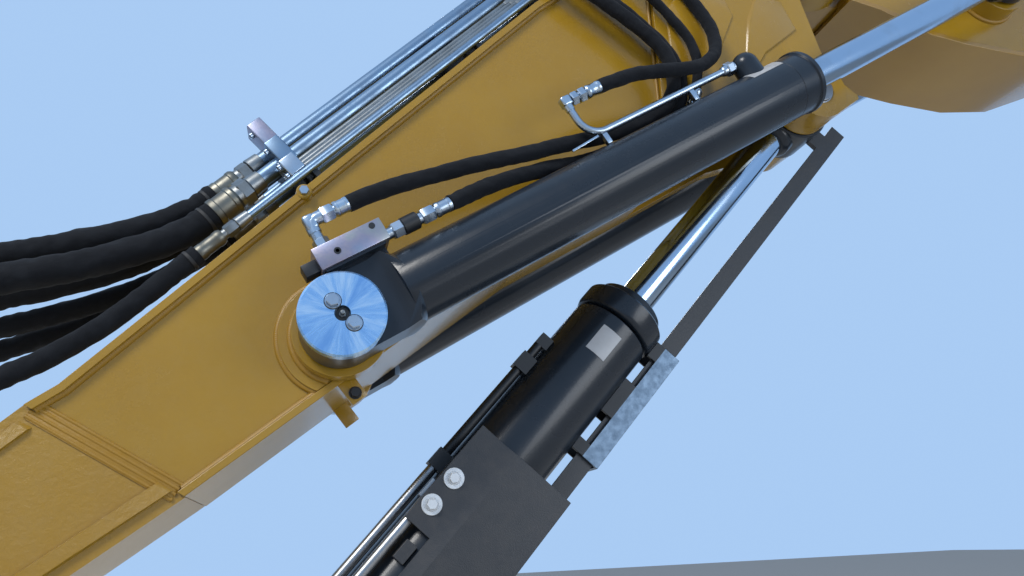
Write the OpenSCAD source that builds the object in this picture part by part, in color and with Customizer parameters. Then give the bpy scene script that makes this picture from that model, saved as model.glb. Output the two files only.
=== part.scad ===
// Two-piece boom of a wheeled excavator: base boom, upper boom, twin adjusting cylinders
// and one central hoist cylinder. Origin on the boom foot pin, +X forward, +Z up.

/* [Base boom] */
// Width over the top and bottom plates
boom_w = 300; // [260:5:340]
// Thickness of the webs
web_t = 16; // [10:1:24]
// How far each web stands in from the edge of the plates
web_inset = 14; // [6:1:24]
// Thickness of the top and bottom plates
plate_t = 14; // [8:1:20]
// Radius of the boom foot boss
foot_r = 105; // [90:5:125]
// Radius of the bore in the boom foot
foot_bore_r = 40; // [30:1:50]
// Length of the boom foot tube
foot_len = 360; // [320:10:420]
// Thickness of the head cheeks
cheek_t = 46; // [30:2:50]
// Radius of the head boss at the upper boom pivot
head_boss_r = 150; // [135:5:160]
// Radius of the lug boss at the hoist cylinder pin
hoist_boss_r = 78; // [70:2:90]

/* [Upper boom pivot] */
// Distance of the pivot in front of the boom foot
pivot_x = 1920; // [1900:5:1940]
// Height of the pivot above the boom foot
pivot_z = 1570; // [1555:5:1590]
// Radius of the pivot pin
pivot_pin_r = 45; // [35:1:55]
// Width of the upper boom's tongue
tongue_w = 190; // [160:5:196]

/* [Upper boom] */
// How much wider the upper boom is over its plates
upper_extra = 4; // [-20:2:10]
// Distance of the arm pivot in front of the boom foot
arm_x = 4100; // [3950:10:4300]
// Height of the arm pivot above the boom foot
arm_z = 1800; // [1760:10:1840]
// Radius of the arm pivot bore
arm_bore_r = 35; // [25:1:45]
// Radius of the boss around the arm pivot
arm_boss_r = 85; // [75:5:95]
// Distance of the arm cylinder lug in front of the boom foot
lug_x = 2440; // [2380:10:2560]
// Radius of the bore in the arm cylinder lug
lug_bore_r = 32; // [24:1:38]

/* [Adjusting cylinders] */
// Distance of the base pin in front of the boom foot
adj_base_x = 750; // [740:2:760]
// Height of the base pin above the boom foot
adj_base_z = 500; // [490:2:510]
// Space between each barrel and the edge of the boom's plates
adj_side = 15; // [12:1:25]
// Distance of the rod eye pin in front of the boom foot
adj_eye_x = 2492; // [2470:2:2510]
// Height of the rod eye pin above the boom foot
adj_eye_z = 1522; // [1510:2:1530]
// Outer radius of the barrel
adj_r = 70; // [64:1:72]
// Radius of the cylinder bore
adj_bore_r = 55; // [50:1:58]
// Radius of the rod
adj_rod_r = 36.5; // [32:0.5:42]
// Distance of the barrel's open end from the base pin
adj_head_x = 1190; // [1150:5:1220]
// Length of the rod from its eye pin to its inner end
adj_rod_len = 1060; // [1020:10:1100]
// Radius of both eyes
adj_eye_r = 75; // [66:1:80]
// Width of both eyes
adj_eye_w = 74; // [60:1:80]
// Radius of the pins in both eyes
adj_pin_r = 35; // [28:1:40]
// Radius of the caps on the pins
adj_cap_r = 76.5; // [68:0.5:80]
// Thickness of the caps on the pins
adj_cap_t = 24; // [14:1:30]

/* [Hoist cylinder] */
// Distance of the rod eye pin in front of the boom foot
hoist_eye_x = 1890; // [1880:2:1900]
// Height of the rod eye pin above the boom foot
hoist_eye_z = 1150; // [1140:2:1160]
// Slope of the hoist cylinder
hoist_slope = 47.5; // [46:0.5:49]
// Outer radius of the barrel
hoist_r = 92; // [86:1:96]
// Radius of the cylinder bore
hoist_bore_r = 74; // [66:1:78]
// Radius of the rod
hoist_rod_r = 41; // [36:0.5:46]
// Distance of the barrel's open end from the rod eye pin
hoist_head_x = 745; // [735:5:765]
// Distance of the base eye from the rod eye pin
hoist_base_x = 2145; // [2100:5:2200]
// Length of the rod from its eye pin to its inner end
hoist_rod_len = 1240; // [1210:10:1280]
// Radius of both eyes
hoist_eye_r = 84; // [78:1:90]
// Width of both eyes
hoist_eye_w = 118; // [100:2:120]
// Radius of the pin in the rod eye
hoist_pin_r = 40; // [32:1:45]
// Radius of the bore in the base eye
hoist_base_bore_r = 40; // [32:1:45]
// Distance of the rod guard from the rod's axis
guard_z = 106; // [105:1:112]
// Width of each leg of the rod guard
guard_leg = 42; // [34:1:46]
// Thickness of the rod guard
guard_t = 5; // [4:0.5:8]
// Length of the rod guard
guard_len = 1258; // [1180:2:1260]

/* [Hydraulic pipes] */
// Length of the pipes along the top of the boom
pipe_len = 900; // [840:10:960]
// Radius of the sleeved hoses of the adjusting cylinders
block_hose_r = 14; // [11:0.5:14.5]
// Radius of the steel tubes on the cylinders
tube_r = 8; // [6:0.5:9]

/* [Hidden] */
$fn = 96;
fit = 0.05;
seat = 0.3;
gap = 2;
web_y = boom_w / 2 - web_inset;
adj_y = boom_w / 2 + adj_side + adj_r;
adj_angle = atan2(adj_eye_z - adj_base_z, adj_eye_x - adj_base_x);
adj_len = norm([adj_eye_x - adj_base_x, adj_eye_z - adj_base_z]);
adj_in = adj_y - adj_eye_w / 2;
adj_out = adj_y + adj_eye_w / 2;
gland_len = 60;
piston_len = 70;
boss_end = adj_in - 6;
upper_w = boom_w + upper_extra;
upper_web_y = upper_w / 2 - web_inset;
foot_joint = [[232, 372], [500, 213]];
head_joint_x = 1465;
boom_top = [[218, 358], [284, 405], [704, 829], [1173, 1303], [1465, 1545], [1700, 1668], [1830, 1706]];
boom_low = [[484, 201], [735, 394], [1135, 700], [head_joint_x, 893]];
head_low = [[head_joint_x + 8, 901], [1502, 942], [1592, 1112], [1700, 1600]];
head_top = [for (p = boom_top) if (p[0] >= head_joint_x) p];
head_clear = 12;
lug_z = 1880;
tip_x = 3990;

module y_rod(r, y0, y1) translate([0, y0, 0]) rotate([-90, 0, 0]) cylinder(r = r, h = y1 - y0);
module x_rod(r, x0, x1) translate([x0, 0, 0]) rotate([0, 90, 0]) cylinder(r = r, h = x1 - x0);
module slab(points, y0, y1) translate([0, y1, 0]) rotate([90, 0, 0]) linear_extrude(y1 - y0) polygon(points);
module both_sides() { children(); mirror([0, 1, 0]) children(); }
module at(x, z) translate([x, 0, z]) children();
module at_adj(side) translate([adj_base_x, side * adj_y, adj_base_z]) rotate([0, -adj_angle, 0]) children();
module at_hoist() translate([hoist_eye_x, 0, hoist_eye_z]) rotate([0, -180 - hoist_slope, 0]) children();

// Points moved down by t, square to a line of points
function unit(v) = v / norm(v);
function normal_at(p, i) = let (a = unit(p[min(i + 1, len(p) - 1)] - p[max(i - 1, 0)])) [a[1], -a[0]];
function shifted(p, t) = [for (i = [0 : len(p) - 1]) p[i] + t * normal_at(p, i)];
function reversed(p) = [for (i = [len(p) - 1 : -1 : 0]) p[i]];
function strip(p, t0, t1) = concat(shifted(p, t0), reversed(shifted(p, t1)));

// Base boom
module foot_side(t, depth = 400) {
    along = unit(foot_joint[1] - foot_joint[0]);
    back = [along[1], -along[0]];
    edge = [foot_joint[0] - 200 * along - t * back, foot_joint[1] + 200 * along - t * back];
    slab(concat(edge, [edge[1] + depth * back, edge[0] + depth * back]), -boom_w, boom_w);
}
module boom_webs() color("goldenrod") difference() {
    both_sides() slab(concat(shifted(boom_top, plate_t), reversed(shifted(boom_low, -plate_t))),
        web_y - web_t, web_y);
    at(adj_base_x, adj_base_z) y_rod(88, -boom_w, boom_w);
    at(head_joint_x - seat, 0) translate([0, -boom_w, 0]) cube([600, 2 * boom_w, 2000]);
    foot_side(seat);
}

module boom_top_plate() color("goldenrod") difference() {
    slab(strip(boom_top, 0, plate_t), -boom_w / 2, boom_w / 2);
    at(pivot_x, pivot_z) y_rod(head_boss_r + seat, -boom_w, boom_w);
    foot_side(seat);
}

module boom_bottom_plate() color("goldenrod") difference() {
    slab(strip(boom_low, -plate_t, 0), -boom_w / 2, boom_w / 2);
    foot_side(seat);
}

module head_floor() color("goldenrod")
    slab(strip(head_low, -plate_t, 0), -boom_w / 2 + cheek_t, boom_w / 2 - cheek_t);

foot_top = [[-40, 97], [80, 232], foot_joint[0]];
foot_low = [[60, -86], [330, 92], foot_joint[1]];
module boom_foot() color("darkgoldenrod") difference() {
    union() {
        both_sides() slab(concat(foot_top, reversed(foot_low)), web_y - 40, web_y);
        slab(strip(foot_top, 0, plate_t), -web_y + 1, web_y - 1);
        slab(strip(foot_low, -plate_t, 0), -web_y + 1, web_y - 1);
        y_rod(foot_r, -foot_len / 2, foot_len / 2);
    }
    y_rod(foot_bore_r, -foot_len, foot_len);
    foot_side(0, -400);
}

head_lower = [[head_joint_x, 893], [1696, 1030], [1836, 1078], [hoist_eye_x, hoist_eye_z]];
head_front = [[1938, 1089], [2001, 1133], [2001, 1143], [1950, 1185], [1917, 1262], [1884, 1411], [pivot_x, pivot_z]];
module head_outline() polygon(concat(head_lower, head_front, reversed(shifted(head_top, plate_t + seat))));

module boom_head() color("goldenrod") difference() {
    both_sides() {
        translate([0, boom_w / 2, 0]) rotate([90, 0, 0]) linear_extrude(cheek_t) head_outline();
        at(hoist_eye_x, hoist_eye_z) y_rod(hoist_boss_r, hoist_eye_w / 2 + gap, boom_w / 2 + 2);
        at(pivot_x, pivot_z) y_rod(head_boss_r, tongue_w / 2 + gap, boom_w / 2 + 12);
    }
    at(pivot_x, pivot_z) y_rod(pivot_pin_r + fit, -boom_w, boom_w);
    at(hoist_eye_x, hoist_eye_z) y_rod(hoist_pin_r + fit, -boom_w, boom_w);
}

module pivot_pin() color("silver") at(pivot_x, pivot_z) {
    y_rod(pivot_pin_r, -boom_w / 2 - 12, boom_w / 2 + 12);
    both_sides() y_rod(pivot_pin_r + 30, boom_w / 2 + 12, boom_w / 2 + 24);
}

module adj_pin() color("silver") at(adj_base_x, adj_base_z) {
    y_rod(adj_pin_r, -adj_out - gap, adj_out + gap);
}
module adj_pin_bosses() color("goldenrod") at(adj_base_x, adj_base_z) difference() {
    both_sides() {
        y_rod(112, web_y, web_y + 12);
        y_rod(88, web_y - web_t, boss_end);
    }
    y_rod(adj_pin_r + fit, -400, 400);
    at(-adj_base_x, -adj_base_z) slab(strip(boom_low, -plate_t - seat, 80), -boom_w / 2 - seat, boom_w / 2 + seat);
}
module adj_pin_caps() color("silver") at(adj_base_x, adj_base_z) both_sides()
    y_rod(adj_cap_r, adj_out + gap, adj_out + gap + adj_cap_t);

module hoist_pin() color("silver") at(hoist_eye_x, hoist_eye_z) {
    y_rod(hoist_pin_r, -boom_w / 2 - 2, boom_w / 2 + 2);
    both_sides() y_rod(hoist_pin_r - 4, boom_w / 2 + 2, boom_w / 2 + 8);
}

// Pipes and their clamps on top of the boom, in a frame that leans a little to the boom's top
// Side place, height, start, pipe radius, hose radius and crimp radius of each line
pipe_rows = [[-130, 30, -180, 9, 20, 16], [-60, 100, -93, 18, 30, 31], [-20, 147, -55, 18, 26, 25],
    [22, 120, -75, 12, 23, 20], [60, 85, -75, 12, 22, 20], [98, 120, -75, 12, 22, 20]];
// Side place and height of each thin line
thin_rows = [[-118, 44], [-100, 58], [-84, 72]];
thin_r = 7;
thin_len = 650;
pipe_foot = boom_top[2];
pipe_tilt = 0.7;
pipe_angle = atan2(boom_top[3][1] - pipe_foot[1], boom_top[3][0] - pipe_foot[0]) - pipe_tilt;
module at_top() translate([pipe_foot[0], 0, pipe_foot[1]]) rotate([0, -pipe_angle, 0]) children();
clamp_w = 12;
// Start of each clamp plate and height of its tip
clamp_rows = [[0, 150], [485, 188], [800, 188]];
function clamp_outline(tip) = [[-130, -20], [-130, 30], [-118, 44], [-100, 58], [-84, 72], [-60, 100],
    [-20, 147], [-8, tip], [14, tip], [60, 140], [118, 130], [130, -20]];
// Near low corner and size of each square block on the pipes
block_rows = [[[-5, -52, 120], [35, 58, 97]], [[-20, -95, 80], [35, 65, 65]], [[-35, -126, 42], [36, 54, 42]]];
module boom_pipes() color("silver") at_top() {
    for (row = pipe_rows) translate([0, row[0], row[1]]) x_rod(row[3], row[2], pipe_len);
    for (row = thin_rows) translate([0, row[0], row[1]]) x_rod(thin_r, 1 + seat, thin_len);
}
module pipe_clamps() color("gray") difference() {
    at_top() difference() {
        union() {
            for (row = clamp_rows) translate([row[0], 0, 0]) rotate([0, 90, 0]) rotate([0, 0, 90])
                linear_extrude(clamp_w) polygon(clamp_outline(row[1]));
            for (row = block_rows) translate(row[0]) cube(row[1]);
        }
        for (row = pipe_rows) translate([0, row[0], row[1]]) x_rod(row[3], -100, pipe_len);
        for (row = thin_rows) translate([0, row[0], row[1]]) x_rod(thin_r, 1, pipe_len);
    }
    slab(concat(shifted(boom_top, -seat), [[1830, 900], [600, 300]]), -boom_w, boom_w);
}
module hose_fittings() color("silver") at_top() {
    for (row = pipe_rows) translate([row[2], row[0], row[1]]) {
        x_rod(row[5] - 2, -30, 0);
        x_rod(row[5] - 6, -40, -28);
        x_rod(row[5], -95, -38);
        x_rod(row[3] + 8, pipe_len - row[2], pipe_len - row[2] + 40);
    }
    for (row = thin_rows) translate([thin_len, row[0], row[1]]) x_rod(thin_r + 2, 0, 40);
}

// Hoses from the pipes back to the machine, each in a gentle sweep
function spline(p, i, t) = let (a = p[max(i - 1, 0)], b = p[i], c = p[i + 1], d = p[min(i + 2, len(p) - 1)])
    0.5 * (2 * b + (c - a) * t + (2 * a - 5 * b + 4 * c - d) * t * t + (3 * b - a - 3 * c + d) * t * t * t);
function smooth(p, n) = [for (i = [0 : len(p) - 2]) for (k = [0 : n - 1]) spline(p, i, k / n), p[len(p) - 1]];
function aim(q, i) = unit(q[min(i + 1, len(q) - 1)] - q[max(i - 1, 0)]);
module swept(route, r, steps = 6, sides = 12) {
    q = smooth(route, steps);
    n = len(q);
    rings = [for (i = [0 : n - 1]) let (w = aim(q, i), u = unit(cross(w, [0.05, 1, 0.02])), v = cross(w, u))
        for (k = [0 : sides - 1]) q[i] + r * (u * cos(360 * k / sides) + v * sin(360 * k / sides))];
    walls = [for (i = [0 : n - 2]) for (k = [0 : sides - 1])
        [i * sides + k, i * sides + (k + 1) % sides, (i + 1) * sides + (k + 1) % sides, (i + 1) * sides + k]];
    first = [for (k = [sides - 1 : -1 : 0]) k];
    last = [for (k = [0 : sides - 1]) (n - 1) * sides + k];
    polyhedron(rings, concat(walls, [first, last]), convexity = 6);
}
hose_routes = [
    [[487, -130, 657], [448, -130, 619], [401, -129, 573], [342, -128, 519], [261, -126, 461],
        [165, -126, 407]],
    [[500, -60, 768], [458, -61, 732], [402, -65, 699], [338, -70, 671], [263, -76, 644], [118, -78, 606]],
    [[494, -20, 828], [451, -20, 794], [394, -20, 763], [329, -20, 737], [253, -20, 713], [166, -20, 690],
        [93, -20, 673]],
    [[499, 22, 795], [454, 22, 755], [397, 23, 715], [327, 25, 678], [244, 26, 645], [148, 26, 616],
        [85, 26, 600]],
    [[523, 60, 770], [476, 62, 731], [412, 68, 686], [340, 76, 648], [260, 78, 615], [167, 78, 582],
        [79, 78, 555]],
    [[499, 98, 795], [456, 102, 753], [406, 111, 704], [345, 124, 652], [269, 130, 604], [177, 132, 564],
        [66, 132, 519]]
];
block_routes = [
    [[756, -265, 718], [813, -263, 748], [889, -254, 782], [992, -240, 826], [1094, -224, 864],
        [1192, -214, 902], [1290, -208, 934], [1355, -207, 962], [1409, -206, 994], [1448, -206, 1030],
        [1469, -206, 1077], [1469, -206, 1129], [1448, -206, 1177], [1404, -205, 1221], [1330, -202, 1280],
        [1250, -196, 1338]],
    [[944, -265, 730], [999, -254, 765], [1063, -232, 804], [1151, -204, 846], [1250, -184, 884],
        [1345, -174, 930], [1396, -172, 958], [1443, -172, 990], [1483, -172, 1032], [1504, -172, 1088],
        [1502, -172, 1146], [1476, -172, 1199], [1432, -172, 1245], [1372, -172, 1298], [1302, -172, 1356]],
    [[1271, -250, 1027], [1343, -250, 1062], [1412, -250, 1082], [1480, -244, 1099], [1536, -232, 1126],
        [1579, -212, 1173], [1597, -192, 1231], [1591, -179, 1286], [1567, -173, 1336], [1524, -172, 1396]],
    [[1531, -192, 1080], [1543, -188, 1130], [1549, -182, 1183], [1535, -175, 1240], [1501, -172, 1290],
        [1464, -172, 1334], [1422, -172, 1381]]
];
block_radii = [block_hose_r + 3, block_hose_r + 3, block_hose_r + 2, block_hose_r - 2];
module hose_end(route, r) color("silver") {
    tip = route[len(route) - 1];
    w = unit(tip - route[len(route) - 2]);
    translate(tip) rotate([0, acos(w[2]), atan2(w[1], w[0])]) {
        cylinder(r = r + 1, h = 60);
        translate([0, 0, 60]) cylinder(r = r - 6, h = 14);
        translate([0, 0, 74]) cylinder(r = r, h = 32);
    }
}
module boom_hose(i) color([0.08, 0.08, 0.09]) swept(hose_routes[i], pipe_rows[i][4]);
module hose_ends() for (i = [0 : len(hose_routes) - 1]) hose_end(hose_routes[i], pipe_rows[i][4]);
module on_side(side) mirror([0, side > 0 ? 1 : 0, 0]) children();
module block_hose(side, i) color([0.08, 0.08, 0.09]) on_side(side) swept(block_routes[i], block_radii[i]);
module block_ends(side) on_side(side) for (i = [0 : len(block_routes) - 1])
    hose_end(block_routes[i], block_radii[i]);

// Upper boom
upper_low = [[2036, 1432], [2123, 1413], [2266, 1354], [2374, 1337], [2550, 1322], [2720, 1341], [2891, 1408],
    [3994, 1708]];
upper_top = [[2050, 1712], [2250, 1772], [2450, 1800], [2700, 1822], [4000, 1884]];

module upper_webs() color("goldenrod") difference() {
    both_sides() slab(concat(shifted(upper_top, plate_t), reversed(shifted(upper_low, -plate_t))),
        upper_web_y - web_t, upper_web_y);
    at(adj_eye_x, adj_eye_z) y_rod(88, -400, 400);
    head_swing();
    tip_side();
}
module tip_side() translate([tip_x, -200, 1500]) cube([200, 400, 500]);
module head_swing() at(pivot_x, pivot_z) y_rod(head_boss_r + head_clear, -400, 400);
module upper_top_plate() color("goldenrod") difference() {
    slab(strip(upper_top, 0, plate_t), -upper_w / 2, upper_w / 2);
    head_swing();
    tip_side();
}
module upper_bottom_plate() color("goldenrod") difference() {
    slab(strip(upper_low, -plate_t, 0), -upper_w / 2, upper_w / 2);
    head_swing();
    tip_side();
}
root_r = head_boss_r - 20;
root_x = pivot_x + 116;
root_end = pivot_x + 280;
module upper_root() color("goldenrod") difference() {
    union() {
        at(pivot_x, pivot_z) y_rod(root_r, -tongue_w / 2, tongue_w / 2);
        slab(concat([[pivot_x, pivot_z + root_r]],
            [[root_x, lookup(root_x, upper_top) - plate_t - 3 * gap]],
            [for (x = [root_x + 34, root_end]) [x, lookup(x, upper_top) - plate_t - gap]],
            [for (x = [root_end, upper_low[1][0], root_x + 4]) [x, lookup(x, upper_low) + plate_t + gap + 1]],
            [[pivot_x, pivot_z - root_r]]), -tongue_w / 2, tongue_w / 2);
    }
    at(pivot_x, pivot_z) y_rod(pivot_pin_r + fit, -200, 200);
}
module upper_bulkhead() color("goldenrod") both_sides() difference() {
    intersection() {
        at(pivot_x, pivot_z) y_rod(head_boss_r + head_clear + web_t, 0, 400);
        slab(concat(shifted(upper_top, plate_t), reversed(shifted(upper_low, -plate_t))),
            tongue_w / 2, upper_web_y - web_t);
    }
    head_swing();
}
module adj_eye_bosses() color("goldenrod") both_sides() at(adj_eye_x, adj_eye_z)
    y_rod(88, upper_web_y - web_t, boss_end);
module upper_tip() color("goldenrod") difference() {
    both_sides() hull() {
        at(arm_x, arm_z) y_rod(arm_boss_r, upper_web_y - 40, upper_web_y);
        translate([tip_x + seat, upper_web_y - 40, 1714]) cube([10, 40, 156]);
    }
    at(arm_x, arm_z) y_rod(arm_bore_r, -400, 400);
}
module arm_cylinder_lug() color("goldenrod") difference() {
    both_sides() slab(concat([[lug_x - 150, lookup(lug_x - 150, upper_top)]],
        [for (p = upper_top) if (abs(p[0] - lug_x) < 150) p], [[lug_x + 150, lookup(lug_x + 150, upper_top)],
        [lug_x + 55, lug_z + 30], [lug_x + 28, lug_z + 58], [lug_x - 28, lug_z + 58], [lug_x - 55, lug_z + 30]]),
        50, 80);
    at(lug_x, lug_z) y_rod(lug_bore_r, -200, 200);
}

// Adjusting cylinders, along +X from the base pin
module adj_barrel(side) color([0.2, 0.22, 0.25]) at_adj(side) difference() {
    union() {
        intersection() {
            union() {
                y_rod(adj_eye_r, -adj_r - 1, adj_r + 1);
                translate([0, -adj_r - 1, 2 - adj_eye_r]) cube([160, 2 * adj_r + 2, 2 * adj_eye_r - 4]);
            }
            linear_extrude(4 * adj_r, center = true) polygon([[-adj_eye_r - 5, -adj_eye_w / 2],
                [90, -adj_eye_w / 2], [150, -adj_r - 3], [165, -adj_r - 3], [165, adj_r + 3], [150, adj_r + 3],
                [90, adj_eye_w / 2], [-adj_eye_r - 5, adj_eye_w / 2]]);
            union() {
                x_rod(adj_r + 40, -adj_eye_r - 5, 90);
                translate([90, 0, 0]) rotate([0, 90, 0]) cylinder(r1 = adj_r + 40, r2 = adj_r - 3, h = 50);
            }
        }
        x_rod(adj_r, 120, adj_head_x - gland_len);
        translate([14, side * 17 - 17, 55]) cube([118, 34, block_z - 55]);
        translate([14, side * 27.5 - 27.5, block_z - 5]) cube([118, 55, 5]);
        translate([port_x, side * 15, 50]) cylinder(r = port_r, h = port_z - 50);
        translate([port_x, side * 15, port_z]) sphere(r = port_r);
    }
    y_rod(adj_pin_r + fit, -200, 200);
    x_rod(adj_bore_r, 180, adj_head_x);
}
block_z = 84;
port_x = 1072;
port_r = 30;
port_z = 90;
module at_block(side) at_adj(side) on_side(side) children();
module valve_block(side) color("thistle") at_block(side)
    translate([8, -61, block_z]) cube([135, 70, 43]);
module z_rod(r, z0, z1) translate([0, 0, z0]) cylinder(r = r, h = z1 - z0);
module block_fittings(side) color("silver") at_block(side) {
    translate([36, -30, 0]) z_rod(12, block_z + 43, 197);
    translate([0, -30, 185]) {
        x_rod(11.5, 36, 90);
        translate([60, 0, 0]) rotate([0, 90, 0]) cylinder(r = 15, h = 26, $fn = 6);
        x_rod(block_radii[0], 88, 115);
    }
    translate([0, -30, 100]) {
        x_rod(11, 143, 290 - 30);
        translate([158, 0, 0]) rotate([0, 90, 0]) cylinder(r = 16, h = 22, $fn = 6);
        x_rod(17, 186, 214);
        translate([220, 0, 0]) rotate([0, 90, 0]) cylinder(r = 15, h = 26, $fn = 6);
        x_rod(block_radii[1], 250, 284);
    }
    difference() {
        translate([937, 43, 0]) {
            z_rod(12, 40, 78);
            translate([0, 0, 75]) rotate([0, 45, 0]) cylinder(r = block_radii[3], h = 42);
        }
        x_rod(adj_r + seat, 900, 1050);
    }
}
module adj_tube(side) color("silver") at_block(side) translate([0, -15, 100]) {
    x_rod(tube_r, 672, port_x - port_r - seat);
    translate([1018, 0, 0]) rotate([0, 90, 0]) cylinder(r = 16, h = port_x - 1018 - port_r - 1, $fn = 6);
    translate([672, 0, 45]) rotate([90, 0, 0]) rotate([0, 0, 180]) rotate_extrude(angle = 90)
        translate([45, 0, 0]) circle(r = tube_r);
    translate([627, 0, 0]) z_rod(tube_r, 45, 80);
    translate([627, 0, 0]) z_rod(12, 76, 103);
    translate([0, 0, 91]) {
        x_rod(11, 627, 684);
        translate([648, 0, 0]) rotate([0, 90, 0]) cylinder(r = 15, h = 26, $fn = 6);
        x_rod(block_radii[2], 680, 716);
    }
    for (x = [655, 900]) difference() {
        translate([x, -6, -40]) cube([12, 12, 40]);
        translate([0, 15, -100]) x_rod(adj_r + seat, x - 1, x + 20);
    }
}
module adj_gland(side) color([0.2, 0.22, 0.25]) at_adj(side) difference() {
    x_rod(adj_r + 4, adj_head_x - gland_len, adj_head_x);
    x_rod(adj_rod_r + fit, 0, 2000);
}
module adj_rod(side) color("silver") at_adj(side) translate([adj_len, 0, 0]) difference() {
    union() {
        x_rod(adj_rod_r, -adj_rod_len, -40);
        x_rod(adj_bore_r - fit, -adj_rod_len - 20, -adj_rod_len + piston_len - 20);
        x_rod(adj_rod_r + 3, -100, -80);
        y_rod(adj_eye_r, -adj_eye_w / 2, adj_eye_w / 2);
    }
    y_rod(adj_pin_r, -200, 200);
}
module adj_eye_pin(side) color("silver") at_adj(side) translate([adj_len, 0, 0]) mirror([0, side < 0 ? 1 : 0, 0]) {
    y_rod(adj_pin_r, -adj_eye_w / 2 - gap, adj_eye_w / 2);
    y_rod(adj_cap_r, adj_eye_w / 2, adj_eye_w / 2 + adj_cap_t);
}

// Hoist cylinder, along +X from the rod eye pin down to the base eye
module hoist_rod() color("silver") at_hoist() difference() {
    union() {
        y_rod(hoist_eye_r, -hoist_eye_w / 2, hoist_eye_w / 2);
        x_rod(hoist_rod_r, 40, hoist_rod_len);
        x_rod(hoist_bore_r - fit, hoist_rod_len - 60, hoist_rod_len + 20);
    }
    y_rod(hoist_pin_r + fit, -200, 200);
}
guard_x = -68;
module rod_guard() color("dimgray") at_hoist() {
    translate([guard_x, -guard_leg / 2, guard_z]) cube([guard_len, guard_t, guard_leg]);
    translate([guard_x, -guard_leg / 2 + guard_t, guard_z + guard_leg - guard_t])
        cube([guard_len, guard_leg - guard_t, guard_t]);
    difference() {
        translate([-26, -guard_leg / 2, hoist_eye_r - 10]) cube([48, 14, guard_z - hoist_eye_r + 14]);
        y_rod(hoist_eye_r + seat, -100, 100);
    }
}
module hoist_barrel() color([0.2, 0.22, 0.25]) at_hoist() difference() {
    union() {
        x_rod(hoist_r, hoist_head_x + gland_len, hoist_base_x - 70);
        translate([hoist_base_x, 0, 0]) y_rod(hoist_eye_r, -hoist_eye_w / 2, hoist_eye_w / 2);
    }
    translate([hoist_base_x, 0, 0]) y_rod(hoist_base_bore_r, -200, 200);
    x_rod(hoist_bore_r, 0, hoist_base_x - 150);
}
module hoist_gland() color([0.2, 0.22, 0.25]) at_hoist() difference() {
    union() {
        x_rod(hoist_r + 6, hoist_head_x, hoist_head_x + gland_len);
        x_rod(hoist_r - 12, hoist_head_x - 24, hoist_head_x);
    }
    x_rod(hoist_rod_r + fit, 0, 2000);
}
guide_x = 755;
guide_len = 315;
module guard_guide() color("silver") at_hoist() translate([guide_x, 0, 0]) difference() {
    translate([0, -30, 60]) cube([guide_len, 60, 98]);
    translate([-1, -24, 50]) cube([guide_len + 2, 48, 102]);
    for (x = [42, 210]) translate([x, -40, 60]) cube([75, 80, 56]);
    x_rod(hoist_r + 6 + seat, -20, 51);
    x_rod(hoist_r + seat, 0, 400);
}
plate_x = 1182;
plate_len = 560;
plate_y = -hoist_r - 16;
module guard_plate() color("dimgray") at_hoist() translate([plate_x, 0, 0]) {
    translate([0, plate_y, -86]) cube([225, 6, 61]);
    rotate([0, 90, 0]) linear_extrude(plate_len)
        polygon([[25, plate_y], [25, plate_y + 6], [-5, plate_y - 2], [-140, plate_y - 2], [-140, plate_y - 8],
            [-5, plate_y - 8]]);
    difference() {
        for (x = [130, 250, 460]) translate([x, plate_y + 5, -55]) cube([40, 60, 24]);
        x_rod(hoist_r + seat, 0, plate_len);
    }
}
// Side place, height from the axis, start and radius of each tube along the hoist cylinder
tube_rows = [[-28, -102, 925, 11], [-84, -76, 1260, 11]];
module hoist_tubes() color("gray") at_hoist() difference() {
    for (row = tube_rows) translate([0, row[0], row[1]]) {
        x_rod(row[3], row[2], hoist_base_x - 190);
        for (x = [row[2], hoist_base_x - 210]) translate([x, -11, -11]) cube([28, 22, 70]);
        for (x = [row[2] + 60, row[2] + 330]) translate([x, -15, -16]) cube([40, 30, 35]);
    }
    x_rod(hoist_r + seat, 700, hoist_base_x);
}

boom_webs();
boom_top_plate();
boom_bottom_plate();
head_floor();
boom_foot();
boom_head();
pivot_pin();
adj_pin();
adj_pin_bosses();
adj_pin_caps();
hoist_pin();
boom_pipes();
pipe_clamps();
hose_fittings();
for (i = [0 : len(hose_routes) - 1]) boom_hose(i);
hose_ends();
upper_root();
upper_bulkhead();
adj_eye_bosses();
upper_webs();
upper_top_plate();
upper_bottom_plate();
upper_tip();
arm_cylinder_lug();
adj_barrel(-1);  // adj_barrel_right
adj_gland(-1);  // adj_gland_right
adj_rod(-1);  // adj_rod_right
adj_eye_pin(-1);  // adj_eye_pin_right
valve_block(-1);  // valve_block_right
block_fittings(-1);  // block_fittings_right
adj_tube(-1);  // adj_tube_right
block_ends(-1);  // block_ends_right
for (i = [0 : len(block_routes) - 1])
    block_hose(-1, i);
adj_barrel(1);  // adj_barrel_left
adj_gland(1);  // adj_gland_left
adj_rod(1);  // adj_rod_left
adj_eye_pin(1);  // adj_eye_pin_left
valve_block(1);  // valve_block_left
block_fittings(1);  // block_fittings_left
adj_tube(1);  // adj_tube_left
block_ends(1);  // block_ends_left
for (i = [0 : len(block_routes) - 1])
    block_hose(1, i);
hoist_rod();
rod_guard();
hoist_barrel();
hoist_gland();
guard_guide();
guard_plate();
hoist_tubes();
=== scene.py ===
import math
import random

import bmesh
import bpy
from mathutils import Matrix, Vector, noise


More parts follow.
